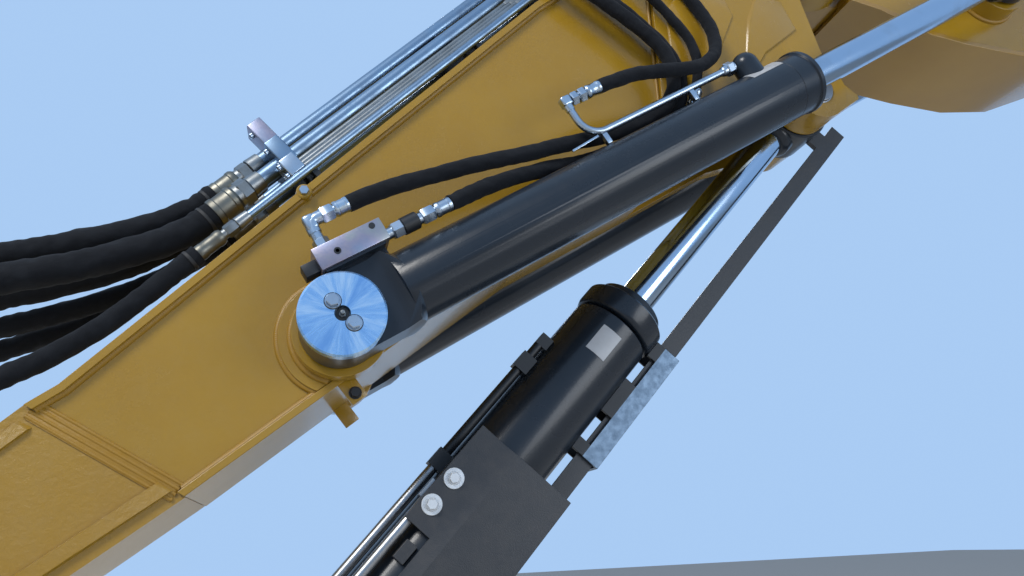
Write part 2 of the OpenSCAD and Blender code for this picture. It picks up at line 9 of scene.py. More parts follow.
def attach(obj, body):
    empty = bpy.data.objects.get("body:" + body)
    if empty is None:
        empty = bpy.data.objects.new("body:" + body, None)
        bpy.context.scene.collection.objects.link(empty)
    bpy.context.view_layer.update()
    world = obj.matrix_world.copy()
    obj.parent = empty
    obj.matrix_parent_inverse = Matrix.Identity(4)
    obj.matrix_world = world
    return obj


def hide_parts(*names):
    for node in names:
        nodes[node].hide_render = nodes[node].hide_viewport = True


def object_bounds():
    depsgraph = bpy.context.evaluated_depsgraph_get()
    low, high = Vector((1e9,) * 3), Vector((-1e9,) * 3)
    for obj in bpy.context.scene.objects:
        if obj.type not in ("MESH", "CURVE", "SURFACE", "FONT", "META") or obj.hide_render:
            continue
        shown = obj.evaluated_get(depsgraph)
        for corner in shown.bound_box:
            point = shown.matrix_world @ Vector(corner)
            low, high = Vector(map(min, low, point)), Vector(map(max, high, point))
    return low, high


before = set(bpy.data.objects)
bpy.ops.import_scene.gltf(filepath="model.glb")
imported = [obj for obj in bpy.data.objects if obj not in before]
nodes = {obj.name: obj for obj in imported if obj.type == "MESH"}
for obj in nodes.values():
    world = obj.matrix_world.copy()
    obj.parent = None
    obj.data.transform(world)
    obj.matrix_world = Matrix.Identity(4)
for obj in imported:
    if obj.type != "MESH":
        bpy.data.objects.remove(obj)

cad_box = [list(corner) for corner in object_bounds()]

# Camera
# It stands below the boom at the machine's right side and looks up and a little forward,
# with the small roll of a picture held by hand.
CAMERA_PLACE = (0.7094, -1.6253, 0.1106)
YAW, PITCH, ROLL = math.radians(14.3753), math.radians(17.9806), math.radians(-2.5687)
LENS, SENSOR_WIDTH, CLIP_START = 27.907, 36.0, 0.02


def placed(name, data):
    """A new object in the scene."""
    obj = bpy.data.objects.new(name, data)
    bpy.context.collection.objects.link(obj)
    return obj


forward = Vector((math.sin(YAW) * math.cos(PITCH), math.cos(YAW) * math.cos(PITCH), math.sin(PITCH)))
level = Vector((math.cos(YAW), -math.sin(YAW), 0))
upright = level.cross(forward)
right = math.cos(ROLL) * level + math.sin(ROLL) * upright
top = -math.sin(ROLL) * level + math.cos(ROLL) * upright
camera = placed("camera", bpy.data.cameras.new("camera"))
camera.data.lens = LENS
camera.data.sensor_width = SENSOR_WIDTH
camera.data.clip_start = CLIP_START
camera.matrix_world = Matrix.Translation(CAMERA_PLACE) @ Matrix((right, top, -forward)).transposed().to_4x4()
bpy.context.scene.camera = camera
bpy.context.scene.view_settings.view_transform = "Standard"

# Studio
# A pale floor under the part's lowest point, a pale surround and wide soft lamps.
FLOOR_Z = cad_box[0][2] - 0.002
FLOOR_CORNERS = [(-14, -14), (18, -14), (18, 18), (-14, 18)]
FLOOR_COLOUR, FLOOR_ROUGHNESS = (0.50, 0.51, 0.52, 1), 0.9
# Colour and strength of the surround as a light, then as the camera and gloss see it
SURROUND = [((0.78, 0.88, 1.0, 1), 0.42), ((0.40, 0.60, 0.90, 1), 1.0)]
# Name, place, aim, size, power and colour of each lamp
LAMPS = [("key_lamp", (-2.6, -3.6, 4.6), (1.1, 0, 0.8), 2.4, 285, (1, 0.97, 0.92)),
         ("fill_lamp", (4.6, -4.6, 0.6), (1.4, 0, 0.9), 3.0, 100, (0.92, 0.96, 1)),
         ("back_lamp", (2.4, 4.6, 4.4), (1.3, 0, 1.0), 2.6, 250, (1, 0.98, 0.95))]


def new_material(name):
    """A new material, its node tree and the inputs of its Principled shader."""
    material = bpy.data.materials.new(name)
    material.use_nodes = True
    return material, material.node_tree, material.node_tree.nodes["Principled BSDF"].inputs


def feed(amount, socket):
    """Wires a node's output into a socket, or sets the socket to a plain value."""
    if isinstance(amount, bpy.types.NodeSocket):
        socket.id_data.links.new(amount, socket)
    else:
        socket.default_value = amount


def fed(tree, kind, **values):
    """A new node with its sockets fed; their names are written with underscores."""
    node = tree.nodes.new(kind)
    for word, amount in values.items():
        feed(amount, node.inputs[word.replace("_", " ")])
    return node


def maths(operation, first, second=0.0):
    node = first.id_data.nodes.new("ShaderNodeMath")
    node.operation = operation
    feed(first, node.inputs[0])
    feed(second, node.inputs[1])
    return node.outputs["Value"]


floor_mesh = bpy.data.meshes.new("floor")
floor_mesh.from_pydata([(x, y, FLOOR_Z) for x, y in FLOOR_CORNERS], [], [(0, 1, 2, 3)])
floor_material, _, shader = new_material("floor_pale")
feed(FLOOR_COLOUR, shader["Base Color"])
feed(FLOOR_ROUGHNESS, shader["Roughness"])
floor_mesh.materials.append(floor_material)
placed("floor", floor_mesh)

world = bpy.data.worlds.new("studio")
world.use_nodes = True
bpy.context.scene.world = world
sky = world.node_tree
sky_mix = sky.nodes.new("ShaderNodeMixShader")
ray = sky.nodes.new("ShaderNodeLightPath").outputs
feed(maths("MAXIMUM", ray["Is Camera Ray"], ray["Is Glossy Ray"]), sky_mix.inputs["Fac"])
for (colour, strength), socket in zip(SURROUND, sky_mix.inputs[1:]):
    feed(fed(sky, "ShaderNodeBackground", Color=colour, Strength=strength).outputs["Background"], socket)
feed(sky_mix.outputs["Shader"], sky.nodes["World Output"].inputs["Surface"])
for name, place, aim, size, power, colour in LAMPS:
    light = bpy.data.lights.new(name, "AREA")
    light.shape = "DISK"
    light.size = size
    light.energy = power
    light.color = colour
    lamp = placed(name, light)
    lamp.location = place
    lamp.rotation_euler = (Vector(aim) - Vector(place)).to_track_quat("-Z", "Y").to_euler()

# Boom plates
# The base boom is a box welded from steel plate, blasted and sprayed with two coats of
# gloss golden-yellow paint, which has orange peel, a little dust and softer plate edges.
BOOM_WIDTH, WEB_Y, PLATE, PLATE_EDGE = 300.0, 136.0, 14.0, 1.6
BOOM_TOP = [(218, 358), (284, 405), (704, 829), (1173, 1303), (1465, 1545), (1700, 1668), (1830, 1706)]
BOOM_LOW = [(484, 201), (735, 394), (1135, 700), (1465, 893)]
SIDES = ((-1, "right"), (1, "left"))
PAINT_YELLOW, PAINT_DEEP, ROAD_DUST = (0.35, 0.208, 0.013), (0.27, 0.143, 0.008), (0.30, 0.25, 0.16)
MERGE_DISTANCE, FLAT_ANGLE, EDGE_ANGLE, SMOOTH_ANGLE = 2e-6, 0.6, 40, 32


def full(value):
    """A colour with its alpha, or a number as it is."""
    return (*value, 1) if isinstance(value, tuple) else value


def shader_group(name, **values):
    """A surface group with the given inputs: its tree, what it is given and what it has to make."""
    tree = bpy.data.node_groups.new(name, "ShaderNodeTree")
    for word, value in values.items():
        kind = "NodeSocketColor" if isinstance(value, tuple) else "NodeSocketFloat"
        socket = tree.interface.new_socket(name=word.replace("_", " "), in_out="INPUT", socket_type=kind)
        socket.default_value = full(value)
    for label, kind in (("Color", "Color"), ("Roughness", "Float"), ("Normal", "Vector")):
        tree.interface.new_socket(name=label, in_out="OUTPUT", socket_type="NodeSocket" + kind)
    return tree, tree.nodes.new("NodeGroupInput").outputs, tree.nodes.new("NodeGroupOutput").inputs


def object_place(tree):
    return tree.nodes.new("ShaderNodeTexCoord").outputs["Object"]


def noise_node(vector, scale, detail, rough):
    return fed(vector.id_data, "ShaderNodeTexNoise", Vector=vector, Scale=scale, Detail=detail,
        Roughness=rough).outputs["Fac"]


def ranged(value, low, high, to_low, to_high):
    return fed(value.id_data, "ShaderNodeMapRange", Value=value, From_Min=low, From_Max=high, To_Min=to_low,
        To_Max=to_high).outputs["Result"]


def mixed(factor, first, second):
    node = factor.id_data.nodes.new("ShaderNodeMix")
    node.data_type = "RGBA"
    for label, amount in (("Factor", factor), ("A", first), ("B", second)):
        feed(amount, [socket for socket in node.inputs if socket.name == label and socket.enabled][0])
    return [socket for socket in node.outputs if socket.enabled][0]


def bumped(height, strength, distance, **normal):
    return fed(height.id_data, "ShaderNodeBump", Height=height, Strength=strength, Distance=distance,
        **normal).outputs["Normal"]


def split(vector):
    return fed(vector.id_data, "ShaderNodeSeparateXYZ", Vector=vector).outputs


tree, given, made = shader_group("sprayed_paint", Paint=PAINT_YELLOW, Deep=PAINT_DEEP, Dust=ROAD_DUST,
    Dust_Amount=0.5, Peel_Scale=230.0, Peel=0.25, Grit_Scale=60.0, Grit=0.0, Gloss=0.2)
PAINT_GROUP = tree
place = object_place(tree)
cloud = noise_node(place, 2.2, 5.0, 0.6)
spots = ranged(noise_node(place, 26.0, 6.0, 0.7), 0.42, 0.78, 0.0, 1.0)
upward = ranged(split(tree.nodes.new("ShaderNodeNewGeometry").outputs["Normal"])["Z"], -0.2, 0.9, 0.0, 1.0)
shade = mixed(ranged(cloud, 0.35, 0.75, 0.0, 0.55), given["Paint"], given["Deep"])
lying = maths("ADD", maths("MULTIPLY", upward, 0.8), 0.12)
dusty = maths("MULTIPLY", maths("MULTIPLY", spots, lying), given["Dust Amount"])
feed(mixed(dusty, shade, given["Dust"]), made["Color"])
rough = maths("ADD", given["Gloss"], maths("MULTIPLY", dusty, 0.5))
feed(maths("ADD", rough, ranged(cloud, 0.3, 0.7, 0.0, 0.08)), made["Roughness"])
peel = bumped(noise_node(place, given["Peel Scale"], 1.5, 0.5), given["Peel"], 0.0007)
grit = noise_node(place, given["Grit Scale"], 8.0, 0.65)
feed(bumped(grit, given["Grit"], 0.004, Normal=peel), made["Normal"])


def finish_material(name, group, **values):
    """A material whose shader takes colour, roughness and normal from a surface group with these values."""
    material, tree, shader = new_material(name)
    surface = tree.nodes.new("ShaderNodeGroup")
    surface.node_tree = group
    for word, value in values.items():
        label = word.replace("_", " ")
        feed(full(value), (surface.inputs if label in surface.inputs else shader)[label])
    for label, target in (("Color", "Base Color"), ("Roughness", "Roughness"), ("Normal", "Normal")):
        feed(surface.outputs[label], shader[target])
    return material


boom_paint = finish_material("boom_paint", PAINT_GROUP, Dust_Amount=0.3, Peel=0.55, Peel_Scale=260.0,
    Coat_Weight=0.25, Coat_Roughness=0.08)
# The welds' paint is a little deeper orange than the boom's. This is painted shade along the seams, over the
# beads' real rough texture.
weld_paint = finish_material("weld_paint", PAINT_GROUP, Paint=(0.33, 0.180, 0.012), Dust_Amount=0.5,
    Grit=0.25, Grit_Scale=150.0, Gloss=0.34, Coat_Weight=0.1, Coat_Roughness=0.2)


def finished(name, mesh, body, replaced=(), smooth_angle=SMOOTH_ANGLE):
    """Puts a mesh in the scene, smooth up to an angle, with its body, and hides the nodes it replaces."""
    piece = placed(name, mesh)
    mesh.shade_smooth()
    mesh.set_sharp_from_angle(angle=math.radians(smooth_angle))
    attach(piece, body)
    if replaced:
        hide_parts(*replaced)
    return piece


def dressed(node, material, body, edge):
    """A clean copy of a CAD node: merged, its flat faces joined, its edges broken by a small round."""
    mesh = nodes[node].data.copy()
    mesh.name = node + "_shape"
    bm = bmesh.new()
    bm.from_mesh(mesh)
    bmesh.ops.remove_doubles(bm, verts=bm.verts, dist=MERGE_DISTANCE)
    bmesh.ops.dissolve_limit(bm, angle_limit=math.radians(FLAT_ANGLE), verts=bm.verts, edges=bm.edges)
    bm.to_mesh(mesh)
    bm.free()
    mesh.materials.clear()
    mesh.materials.append(material)
    piece = finished(mesh.name, mesh, body, (node,))
    bevel = piece.modifiers.new("edge", "BEVEL")
    bevel.width = edge / 1000
    bevel.segments = 2
    bevel.limit_method = "ANGLE"
    bevel.angle_limit = math.radians(EDGE_ANGLE)
    bevel.harden_normals = True
    return piece


for node in ("boom_webs", "boom_top_plate", "boom_bottom_plate", "head_floor"):
    dressed(node, boom_paint, "base_boom", PLATE_EDGE)

# Boom foot
# The foot is a steel casting, welded to the box with a V-shaped seam. Its skin keeps the grain
# of the sand mould under the paint, and a raised flange and rim run along each side.
FOOT_EDGE, FOOT_SLOPE = 5.0, 7
FOOT_FLANGE = [(90, -52), (336, 122), (482, 226), (456, 240), (318, 146), (76, -26)]
FOOT_RIM = [(-8, 112), (94, 226), (228, 346), (250, 334), (108, 204), (14, 98)]
foot_paint = finish_material("foot_paint", PAINT_GROUP, Paint=(0.35, 0.205, 0.016), Dust_Amount=0.45,
    Grit=0.5, Grit_Scale=90.0, Peel=0.2, Gloss=0.26, Coat_Weight=0.35, Coat_Roughness=0.14)
dressed("boom_foot", foot_paint, "base_boom", FOOT_EDGE)


def to_piece(bm, name, material, own_frame=Matrix(), replaced=(), body="base_boom"):
    """Turns a bmesh drawn in millimetres in its own frame into a finished piece in metres."""
    bm.transform(own_frame)
    if own_frame.determinant() < 0:
        bmesh.ops.reverse_faces(bm, faces=bm.faces)
    bm.transform(Matrix.Scale(0.001, 4))
    mesh = bpy.data.meshes.new(name)
    bm.to_mesh(mesh)
    bm.free()
    mesh.materials.append(material)
    return finished(name, mesh, body, replaced)


def raised_pad(bm, outline, y, height, slope):
    """Adds a pad with sloping sides on the plane y, its outline given as X and Z; height grows outwards."""
    sign = -1 if y < 0 else 1
    count = len(outline)
    middle = Vector((sum(p[0] for p in outline) / count, sum(p[1] for p in outline) / count))
    rings = []
    for lift, inset in ((-1.0, 0.0), (height - 1.5, slope * 0.85), (height, slope + 2.0)):
        inward = [(middle - Vector((x, z))).normalized() * inset for x, z in outline]
        rings.append([bm.verts.new((x + towards.x, y + sign * lift, z + towards.y))
            for (x, z), towards in zip(outline, inward)])
    faces = [bm.faces.new(rings[2])]
    for low, high in zip(rings, rings[1:]):
        faces += [bm.faces.new((low[i], low[(i + 1) % count], high[(i + 1) % count], high[i]))
            for i in range(count)]
    bmesh.ops.recalc_face_normals(bm, faces=faces)
    if faces[0].normal.y * sign < 0:
        bmesh.ops.reverse_faces(bm, faces=faces)


for side, word in SIDES:
    for pad_name, outline, height in (("foot_flange_", FOOT_FLANGE, 9), ("foot_rim_", FOOT_RIM, 7)):
        pad = bmesh.new()
        raised_pad(pad, outline, side * WEB_Y, height, FOOT_SLOPE)
        to_piece(pad, pad_name + word, foot_paint)

# Boom head
# The head is a pair of thick cheeks with bosses for the pivot and the hoist pin. Raised
# panels stiffen the cheeks, and their rims stand out softly under the paint.
HEAD_EDGE, HEAD_PAD_HEIGHT, HEAD_PAD_SLOPE = 2.5, 4, 6
HEAD_PADS = [
    [(1668, 1380), (1684, 1338), (1639, 1231), (1560, 1130), (1530, 1010), (1500, 1000), (1500, 1330),
     (1560, 1400)],
    [(1825, 1402), (1859, 1317), (1756, 1231), (1720, 1180), (1700, 1220), (1720, 1330), (1760, 1420)],
]
dressed("boom_head", boom_paint, "base_boom", HEAD_EDGE)
for side, word in SIDES:
    pads = bmesh.new()
    for outline in HEAD_PADS:
        raised_pad(pads, outline, side * BOOM_WIDTH / 2, HEAD_PAD_HEIGHT, HEAD_PAD_SLOPE)
    to_piece(pads, "head_panels_" + word, boom_paint)

# Weld seams
# Fillet welds join webs, plates, castings and bosses. Each is a run of overlapping beads,
# left as laid and painted over.
PIVOT, BASE_PIN, ROD_EYE = (1920, 1570), (750, 500), (2492, 1522)
WEB_TOP_START, WEB_LOW_START = (242, 375), (503, 216)
HEAD_JOINT_X, HEAD_JOINT_LOW, HEAD_JOINT_TOP = 1463, 905, 1525
FOOT_JOINT = [(232, 372), (500, 213)]
STRIP_HALF, STRIP_HEIGHT, STRIP_SLOPE, STRIP_BEADS = 19, 3, 5, (-15, -6, 4, 14)
BEAD_SIDES, BEAD_BASE, BEAD_RIPPLE, BEAD_SCATTER, SCATTER_SCALE, BEAD_STEP = 12, 0.92, 0.04, 0.16, 40.0, 0.3
geo = bpy.data.node_groups.new("weld_run", "GeometryNodeTree")
WELD_INPUTS = {}
for label, kind in (("Geometry", "Geometry"), ("Radius", "Float"), ("Ripple Pitch", "Float"),
        ("Material", "Material")):
    socket = geo.interface.new_socket(name=label, in_out="INPUT", socket_type="NodeSocket" + kind)
    WELD_INPUTS[label] = socket.identifier
geo.interface.new_socket(name="Geometry", in_out="OUTPUT", socket_type="NodeSocketGeometry")
given, made = geo.nodes.new("NodeGroupInput").outputs, geo.nodes.new("NodeGroupOutput").inputs
resample = geo.nodes.new("GeometryNodeResampleCurve")
resample.mode = "LENGTH"
feed(fed(geo, "GeometryNodeMeshToCurve", Mesh=given["Geometry"]).outputs["Curve"], resample.inputs["Curve"])
feed(maths("MULTIPLY", given["Ripple Pitch"], BEAD_STEP), resample.inputs["Length"])
circle = fed(geo, "GeometryNodeCurvePrimitiveCircle", Resolution=BEAD_SIDES, Radius=given["Radius"])
turns = maths("MULTIPLY", geo.nodes.new("GeometryNodeSplineParameter").outputs["Length"], 2 * math.pi)
wave = maths("SINE", maths("DIVIDE", turns, given["Ripple Pitch"]))
scatter = fed(geo, "ShaderNodeTexNoise", Scale=SCATTER_SCALE).outputs["Fac"]
swell = maths("ADD", maths("MULTIPLY", wave, BEAD_RIPPLE), maths("MULTIPLY", scatter, BEAD_SCATTER))
sweep = fed(geo, "GeometryNodeCurveToMesh", Curve=resample.outputs["Curve"],
    Profile_Curve=circle.outputs["Curve"], Scale=maths("ADD", swell, BEAD_BASE), Fill_Caps=True)
smooth = fed(geo, "GeometryNodeSetShadeSmooth", Geometry=sweep.outputs["Mesh"])
paint = fed(geo, "GeometryNodeSetMaterial", Geometry=smooth.outputs["Geometry"], Material=given["Material"])
feed(paint.outputs["Geometry"], made["Geometry"])


def weld(name, runs, radius, body="base_boom", pitch=4.0):
    """Runs the weld tree along lines of points in millimetres and keeps the result as a plain mesh."""
    points, edges = [], []
    for run in runs:
        edges += [(i, i + 1) for i in range(len(points), len(points) + len(run) - 1)]
        points += [(x / 1000, y / 1000, z / 1000) for x, y, z in run]
    lines = bpy.data.meshes.new(name + "_lines")
    lines.from_pydata(points, edges, [])
    carrier = placed(name + "_lines", lines)
    modifier = carrier.modifiers.new("nodes", "NODES")
    modifier.node_group = geo
    for label, value in (("Radius", radius / 1000), ("Ripple Pitch", pitch / 1000), ("Material", weld_paint)):
        modifier[WELD_INPUTS[label]] = value
    carrier.update_tag()
    bpy.context.view_layer.update()
    plain = bpy.data.meshes.new_from_object(carrier.evaluated_get(bpy.context.evaluated_depsgraph_get()))
    bpy.data.objects.remove(carrier)
    plain.name = name
    piece = placed(name, plain)
    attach(piece, body)


def arc(middle, radius, start, end, y, steps=72):
    """Points on an arc round a middle given as X and Z, on the plane y."""
    turns = [math.radians(start + (end - start) * i / steps) for i in range(steps + 1)]
    return [(middle[0] + radius * math.cos(turn), y, middle[1] + radius * math.sin(turn)) for turn in turns]


def shifted(points, amount):
    """A line of X, Z points moved square to itself; a positive amount moves it down and to the right."""
    out = []
    for i, point in enumerate(points):
        run = (Vector(points[min(i + 1, len(points) - 1)]) - Vector(points[max(i - 1, 0)])).normalized()
        out.append((point[0] + amount * run.y, point[1] - amount * run.x))
    return out


def on_joint(end, inset, away):
    """A point at the foot's joint, inset from its upper or lower end and away from it along the boom."""
    run = (Vector(FOOT_JOINT[1]) - Vector(FOOT_JOINT[0])).normalized()
    return Vector(FOOT_JOINT[end]) + run * inset + Vector((run.y, -run.x)) * away


weld("plate_seams", [[(x, side * WEB_Y, z) for x, z in line] for side in (-1, 1)
    for line in (shifted([WEB_TOP_START] + BOOM_TOP[1:5], PLATE),
    shifted([WEB_LOW_START] + BOOM_LOW[1:], -PLATE))], 7.5)
weld("head_seams", [[(HEAD_JOINT_X, side * WEB_Y, z) for z in (HEAD_JOINT_LOW, HEAD_JOINT_TOP)]
    for side in (-1, 1)], 4.0)
for side, word in SIDES:
    strip = bmesh.new()
    raised_pad(strip, [on_joint(*corner) for corner in ((0, 12, -STRIP_HALF), (1, -14, -STRIP_HALF),
        (1, -14, STRIP_HALF), (0, 12, STRIP_HALF))], side * WEB_Y, STRIP_HEIGHT, STRIP_SLOPE)
    to_piece(strip, "foot_joint_strip_" + word, weld_paint)
weld("foot_joint_beads", [[(point.x, side * (WEB_Y + 1), point.y)
    for point in (on_joint(0, 14, away), on_joint(1, -16, away))] for side in (-1, 1)
    for away in STRIP_BEADS], 3.6, pitch=5.0)
# These beads round the pivot boss also darken its rim with their deeper orange: painted shade of the groove
# round the boss.
weld("head_boss_seams", [arc(PIVOT, 152, 120, 262, side * (BOOM_WIDTH / 2 - 1), 60) for side in (-1, 1)], 6.0)
weld("boss_seams", [arc(BASE_PIN, radius, start, end, side * (WEB_Y + rise))
    for radius, start, end, rise in ((113, 6, 249, 1), (89, -3, 258, 13)) for side in (-1, 1)], 7.0)

# Pins and their bosses
# Machined steel pins in cast bosses. Each adjusting cylinder's base pin ends in a turned and
# zinc-plated cap, held by two hex bolts with a grease nipple between them.
BOSS_EDGE, PIN_EDGE = 4.0, 2.0
CAP_R, CAP_T, CAP_Y, CAP_HOLE = 76.5, 24.0, 274.0, 7.0
CAP_BOLTS = [(-17, 21), (20, -17)]
TAB_LOW, TAB_HIGH, TAB_HALF, TAB_Y, TAB_BOLT_PLACE = (18, -46), (52, 2), 4, 142, (35, -30)
dressed("adj_pin_bosses", boom_paint, "base_boom", BOSS_EDGE)
tree, given, made = shader_group("zinc_plating", Zinc=(0.50, 0.58, 0.66), Cloud=(0.34, 0.40, 0.48),
    Cloud_Scale=22.0, Roughness=0.24, Scratch=0.15)
PLATE_GROUP = tree
place = object_place(tree)
cloud = noise_node(place, given["Cloud Scale"], 6.0, 0.6)
feed(mixed(ranged(cloud, 0.35, 0.7, 0.0, 1.0), given["Zinc"], given["Cloud"]), made["Color"])
feed(maths("ADD", given["Roughness"], ranged(cloud, 0.3, 0.75, -0.04, 0.16)), made["Roughness"])
feed(bumped(noise_node(place, 420.0, 3.0, 0.6), given["Scratch"], 0.0004), made["Normal"])
# Bright and dull colour, cloud scale, roughness, scratches and metallic share of each plating
zinc, zinc_dull, zinc_blue, zinc_olive, pin_steel, guide_zinc, washer_zinc = (
    finish_material(name, PLATE_GROUP, Zinc=bright, Cloud=dull, Cloud_Scale=scale, Roughness=rough,
                    Scratch=scratch, Metallic=metal)
    for name, bright, dull, scale, rough, scratch, metal in (
        ("zinc", (0.50, 0.58, 0.66), (0.34, 0.40, 0.48), 22.0, 0.24, 0.15, 1.0),
        ("zinc_dull", (0.30, 0.31, 0.31), (0.17, 0.18, 0.18), 22.0, 0.34, 0.3, 1.0),
        ("zinc_blue", (0.26, 0.36, 0.47), (0.17, 0.24, 0.33), 22.0, 0.3, 0.2, 1.0),
        ("zinc_olive", (0.21, 0.20, 0.165), (0.12, 0.115, 0.10), 22.0, 0.38, 0.3, 1.0),
        ("pin_steel", (0.36, 0.37, 0.39), (0.25, 0.25, 0.25), 22.0, 0.3, 0.15, 1.0),
        ("guide_zinc", (0.17, 0.23, 0.30), (0.13, 0.18, 0.24), 60.0, 0.42, 0.3, 1.0),
        ("washer_zinc", (0.72, 0.74, 0.76), (0.58, 0.60, 0.62), 22.0, 0.5, 0.15, 0.7)))
# A near-black paint: the tab bolts' finish, and painted shade under the cap bolts and at the bottom of the
# grease hole.
grease_and_shade = finish_material("grease_and_shade", PAINT_GROUP, Paint=(0.012, 0.011, 0.010), Deep=(0.02, 0.018, 0.015),
    Dust=(0.05, 0.045, 0.04), Dust_Amount=0.2, Gloss=0.3)
for node in ("pivot_pin", "adj_pin", "hoist_pin"):
    dressed(node, pin_steel, "base_boom", PIN_EDGE)


def ramp(value, stops):
    """Colours along a value, from stops of a position and a colour."""
    node = value.id_data.nodes.new("ShaderNodeValToRGB")
    elements = node.color_ramp.elements
    for position, _ in stops[1:-1]:
        elements.new(position)
    for element, (position, colour) in zip(elements, stops):
        element.position, element.color = position, full(colour)
    feed(value, node.inputs["Fac"])
    return node.outputs["Color"]


def joined(x, y, z=0.0):
    return fed(x.id_data, "ShaderNodeCombineXYZ", X=x, Y=y, Z=z).outputs["Vector"]


cap_face, tree, shader = new_material("turned_zinc")
from_middle = fed(tree, "ShaderNodeMapping", Vector=object_place(tree),
    Location=(-BASE_PIN[0] / 1000, 0, -BASE_PIN[1] / 1000))
across = split(from_middle.outputs["Vector"])
turn = maths("ARCTAN2", across["Z"], across["X"])
distance = tree.nodes.new("ShaderNodeVectorMath")
distance.operation = "LENGTH"
feed(joined(across["X"], across["Z"]), distance.inputs[0])
distance = distance.outputs["Value"]
rays = noise_node(joined(maths("SINE", turn), maths("COSINE", turn), maths("MULTIPLY", distance, 2.5)), 3.2,
    6.0, 0.72)
feed(1.0, shader["Metallic"])
feed(ramp(rays, ((0.36, (0.22, 0.42, 0.72)), (0.5, (0.36, 0.58, 0.84)), (0.66, (0.66, 0.80, 0.93)))),
    shader["Base Color"])
feed(ranged(rays, 0.3, 0.7, 0.34, 0.2), shader["Roughness"])
feed(bumped(maths("SINE", maths("MULTIPLY", distance, 4200.0)), 0.12, 0.0002), shader["Normal"])


def turned(bm, profile, matrix=Matrix(), sides=32, chamfer=0.0, start_angle=0.0):
    """Adds a body of revolution round local X; the profile is a list of (x, radius)."""
    if chamfer:
        cut = [profile[0]]
        for before, corner, after in zip(profile, profile[1:], profile[2:]):
            a, b, c = Vector(before), Vector(corner), Vector(after)
            reach = min(chamfer, (b - a).length * 0.45, (c - b).length * 0.45)
            if (b - a).angle(c - b, 0.0) > math.radians(30):
                cut += [b + (a - b).normalized() * reach, b + (c - b).normalized() * reach]
            else:
                cut.append(corner)
        profile = cut + [profile[-1]]
    rings = []
    for x, radius in profile:
        turns = [start_angle + 2 * math.pi * k / sides for k in range(sides if radius else 1)]
        rings.append([bm.verts.new(matrix @ Vector((x, radius * math.cos(turn), radius * math.sin(turn))))
            for turn in turns])
    faces = []
    for low, high in zip(rings, rings[1:]):
        for k in range(sides):
            n = (k + 1) % sides
            if len(low) == 1:
                corners = (low[0], high[n], high[k])
            elif len(high) == 1:
                corners = (low[k], low[n], high[0])
            else:
                corners = (low[k], low[n], high[n], high[k])
            faces.append(bm.faces.new(corners))
    bmesh.ops.recalc_face_normals(bm, faces=faces)


def disc(bm, x0, x1, radius, matrix=Matrix(), chamfer=0.0, sides=32):
    """Adds a closed cylinder along local X."""
    turned(bm, [(x0, 0), (x0, radius), (x1, radius), (x1, 0)], matrix, sides, chamfer)


def hexed(bm, x0, x1, across, matrix=Matrix()):
    """Adds a hex nut or bolt head along local X with its corners turned off."""
    r, cut = across / math.sqrt(3), (x1 - x0) * 0.12
    turned(bm, [(x0, 0), (x0, r * 0.88), (x0 + cut, r), (x1 - cut, r), (x1, r * 0.88), (x1, 0)], matrix, 6,
        start_angle=0.3)


def box(bm, low, high, matrix=Matrix(), edge=1.0, segments=2):
    """Adds a block between two corners with broken edges."""
    low, high = Vector(low), Vector(high)
    made = bmesh.ops.create_cube(bm, size=1.0)
    for vert in made["verts"]:
        vert.co = matrix @ Vector([low[i] + (vert.co[i] + 0.5) * (high[i] - low[i]) for i in range(3)])
    edges = list(dict.fromkeys(e for vert in made["verts"] for e in vert.link_edges))
    bmesh.ops.bevel(bm, geom=edges, offset=edge, segments=segments, profile=0.5, affect="EDGES")


def facing(point, direction):
    """A frame at point whose X axis looks along direction."""
    return Matrix.Translation(point) @ Vector(direction).to_track_quat("X", "Z").to_matrix().to_4x4()


def sloped(x, y, z, angle):
    """A frame at a point whose X axis climbs at an angle."""
    return Matrix.Translation((x, y, z)) @ Matrix.Rotation(-angle, 4, "Y")


def rise(start, end):
    return math.atan2(end[1] - start[1], end[0] - start[0])


def on_cap(side, x, y, z):
    """A frame on a side's pin cap, y counted outwards from the cap's inner face."""
    return facing((BASE_PIN[0] + x, side * (CAP_Y + y), BASE_PIN[1] + z), (0, side, 0))


for side, word in SIDES:
    cap, bolts, shade, nipple = bmesh.new(), bmesh.new(), bmesh.new(), bmesh.new()
    turned(cap, [(0, 0), (0, CAP_R - 2), (3, CAP_R), (CAP_T - 2.5, CAP_R), (CAP_T, CAP_R - 3.2), (CAP_T, 14),
        (CAP_T - CAP_HOLE, 12), (CAP_T - CAP_HOLE, 0)], on_cap(side, 0, 0, 0), 128)
    to_piece(cap, "pin_cap_" + word, cap_face, replaced=("adj_pin_caps",) if side < 0 else ())
    for x, z in CAP_BOLTS:
        disc(bolts, 0, 2.4, 14, on_cap(side, x, CAP_T, z), 0.6)
        hexed(bolts, 2.4, 12, 21, on_cap(side, x, CAP_T, z))
        # Thin near-black discs under the bolt heads and at the bottom of the nipple's hole: painted shade
        # round the bolts and in the hole.
        disc(shade, 0, 0.7, 15.4, on_cap(side, x, CAP_T, z))
    to_piece(bolts, "cap_bolts_" + word, zinc)
    seat = on_cap(side, 0, CAP_T - CAP_HOLE, 0)
    disc(shade, 0, 0.8, 11.9, seat)
    to_piece(shade, "cap_painted_shade_" + word, grease_and_shade)
    hexed(nipple, 0, 5, 11, seat)
    turned(nipple, [(5, 0), (5, 4), (11, 3), (12, 4.2), (15, 3.6), (16, 0)], seat, 24)
    to_piece(nipple, "cap_nipple_" + word, zinc_dull)

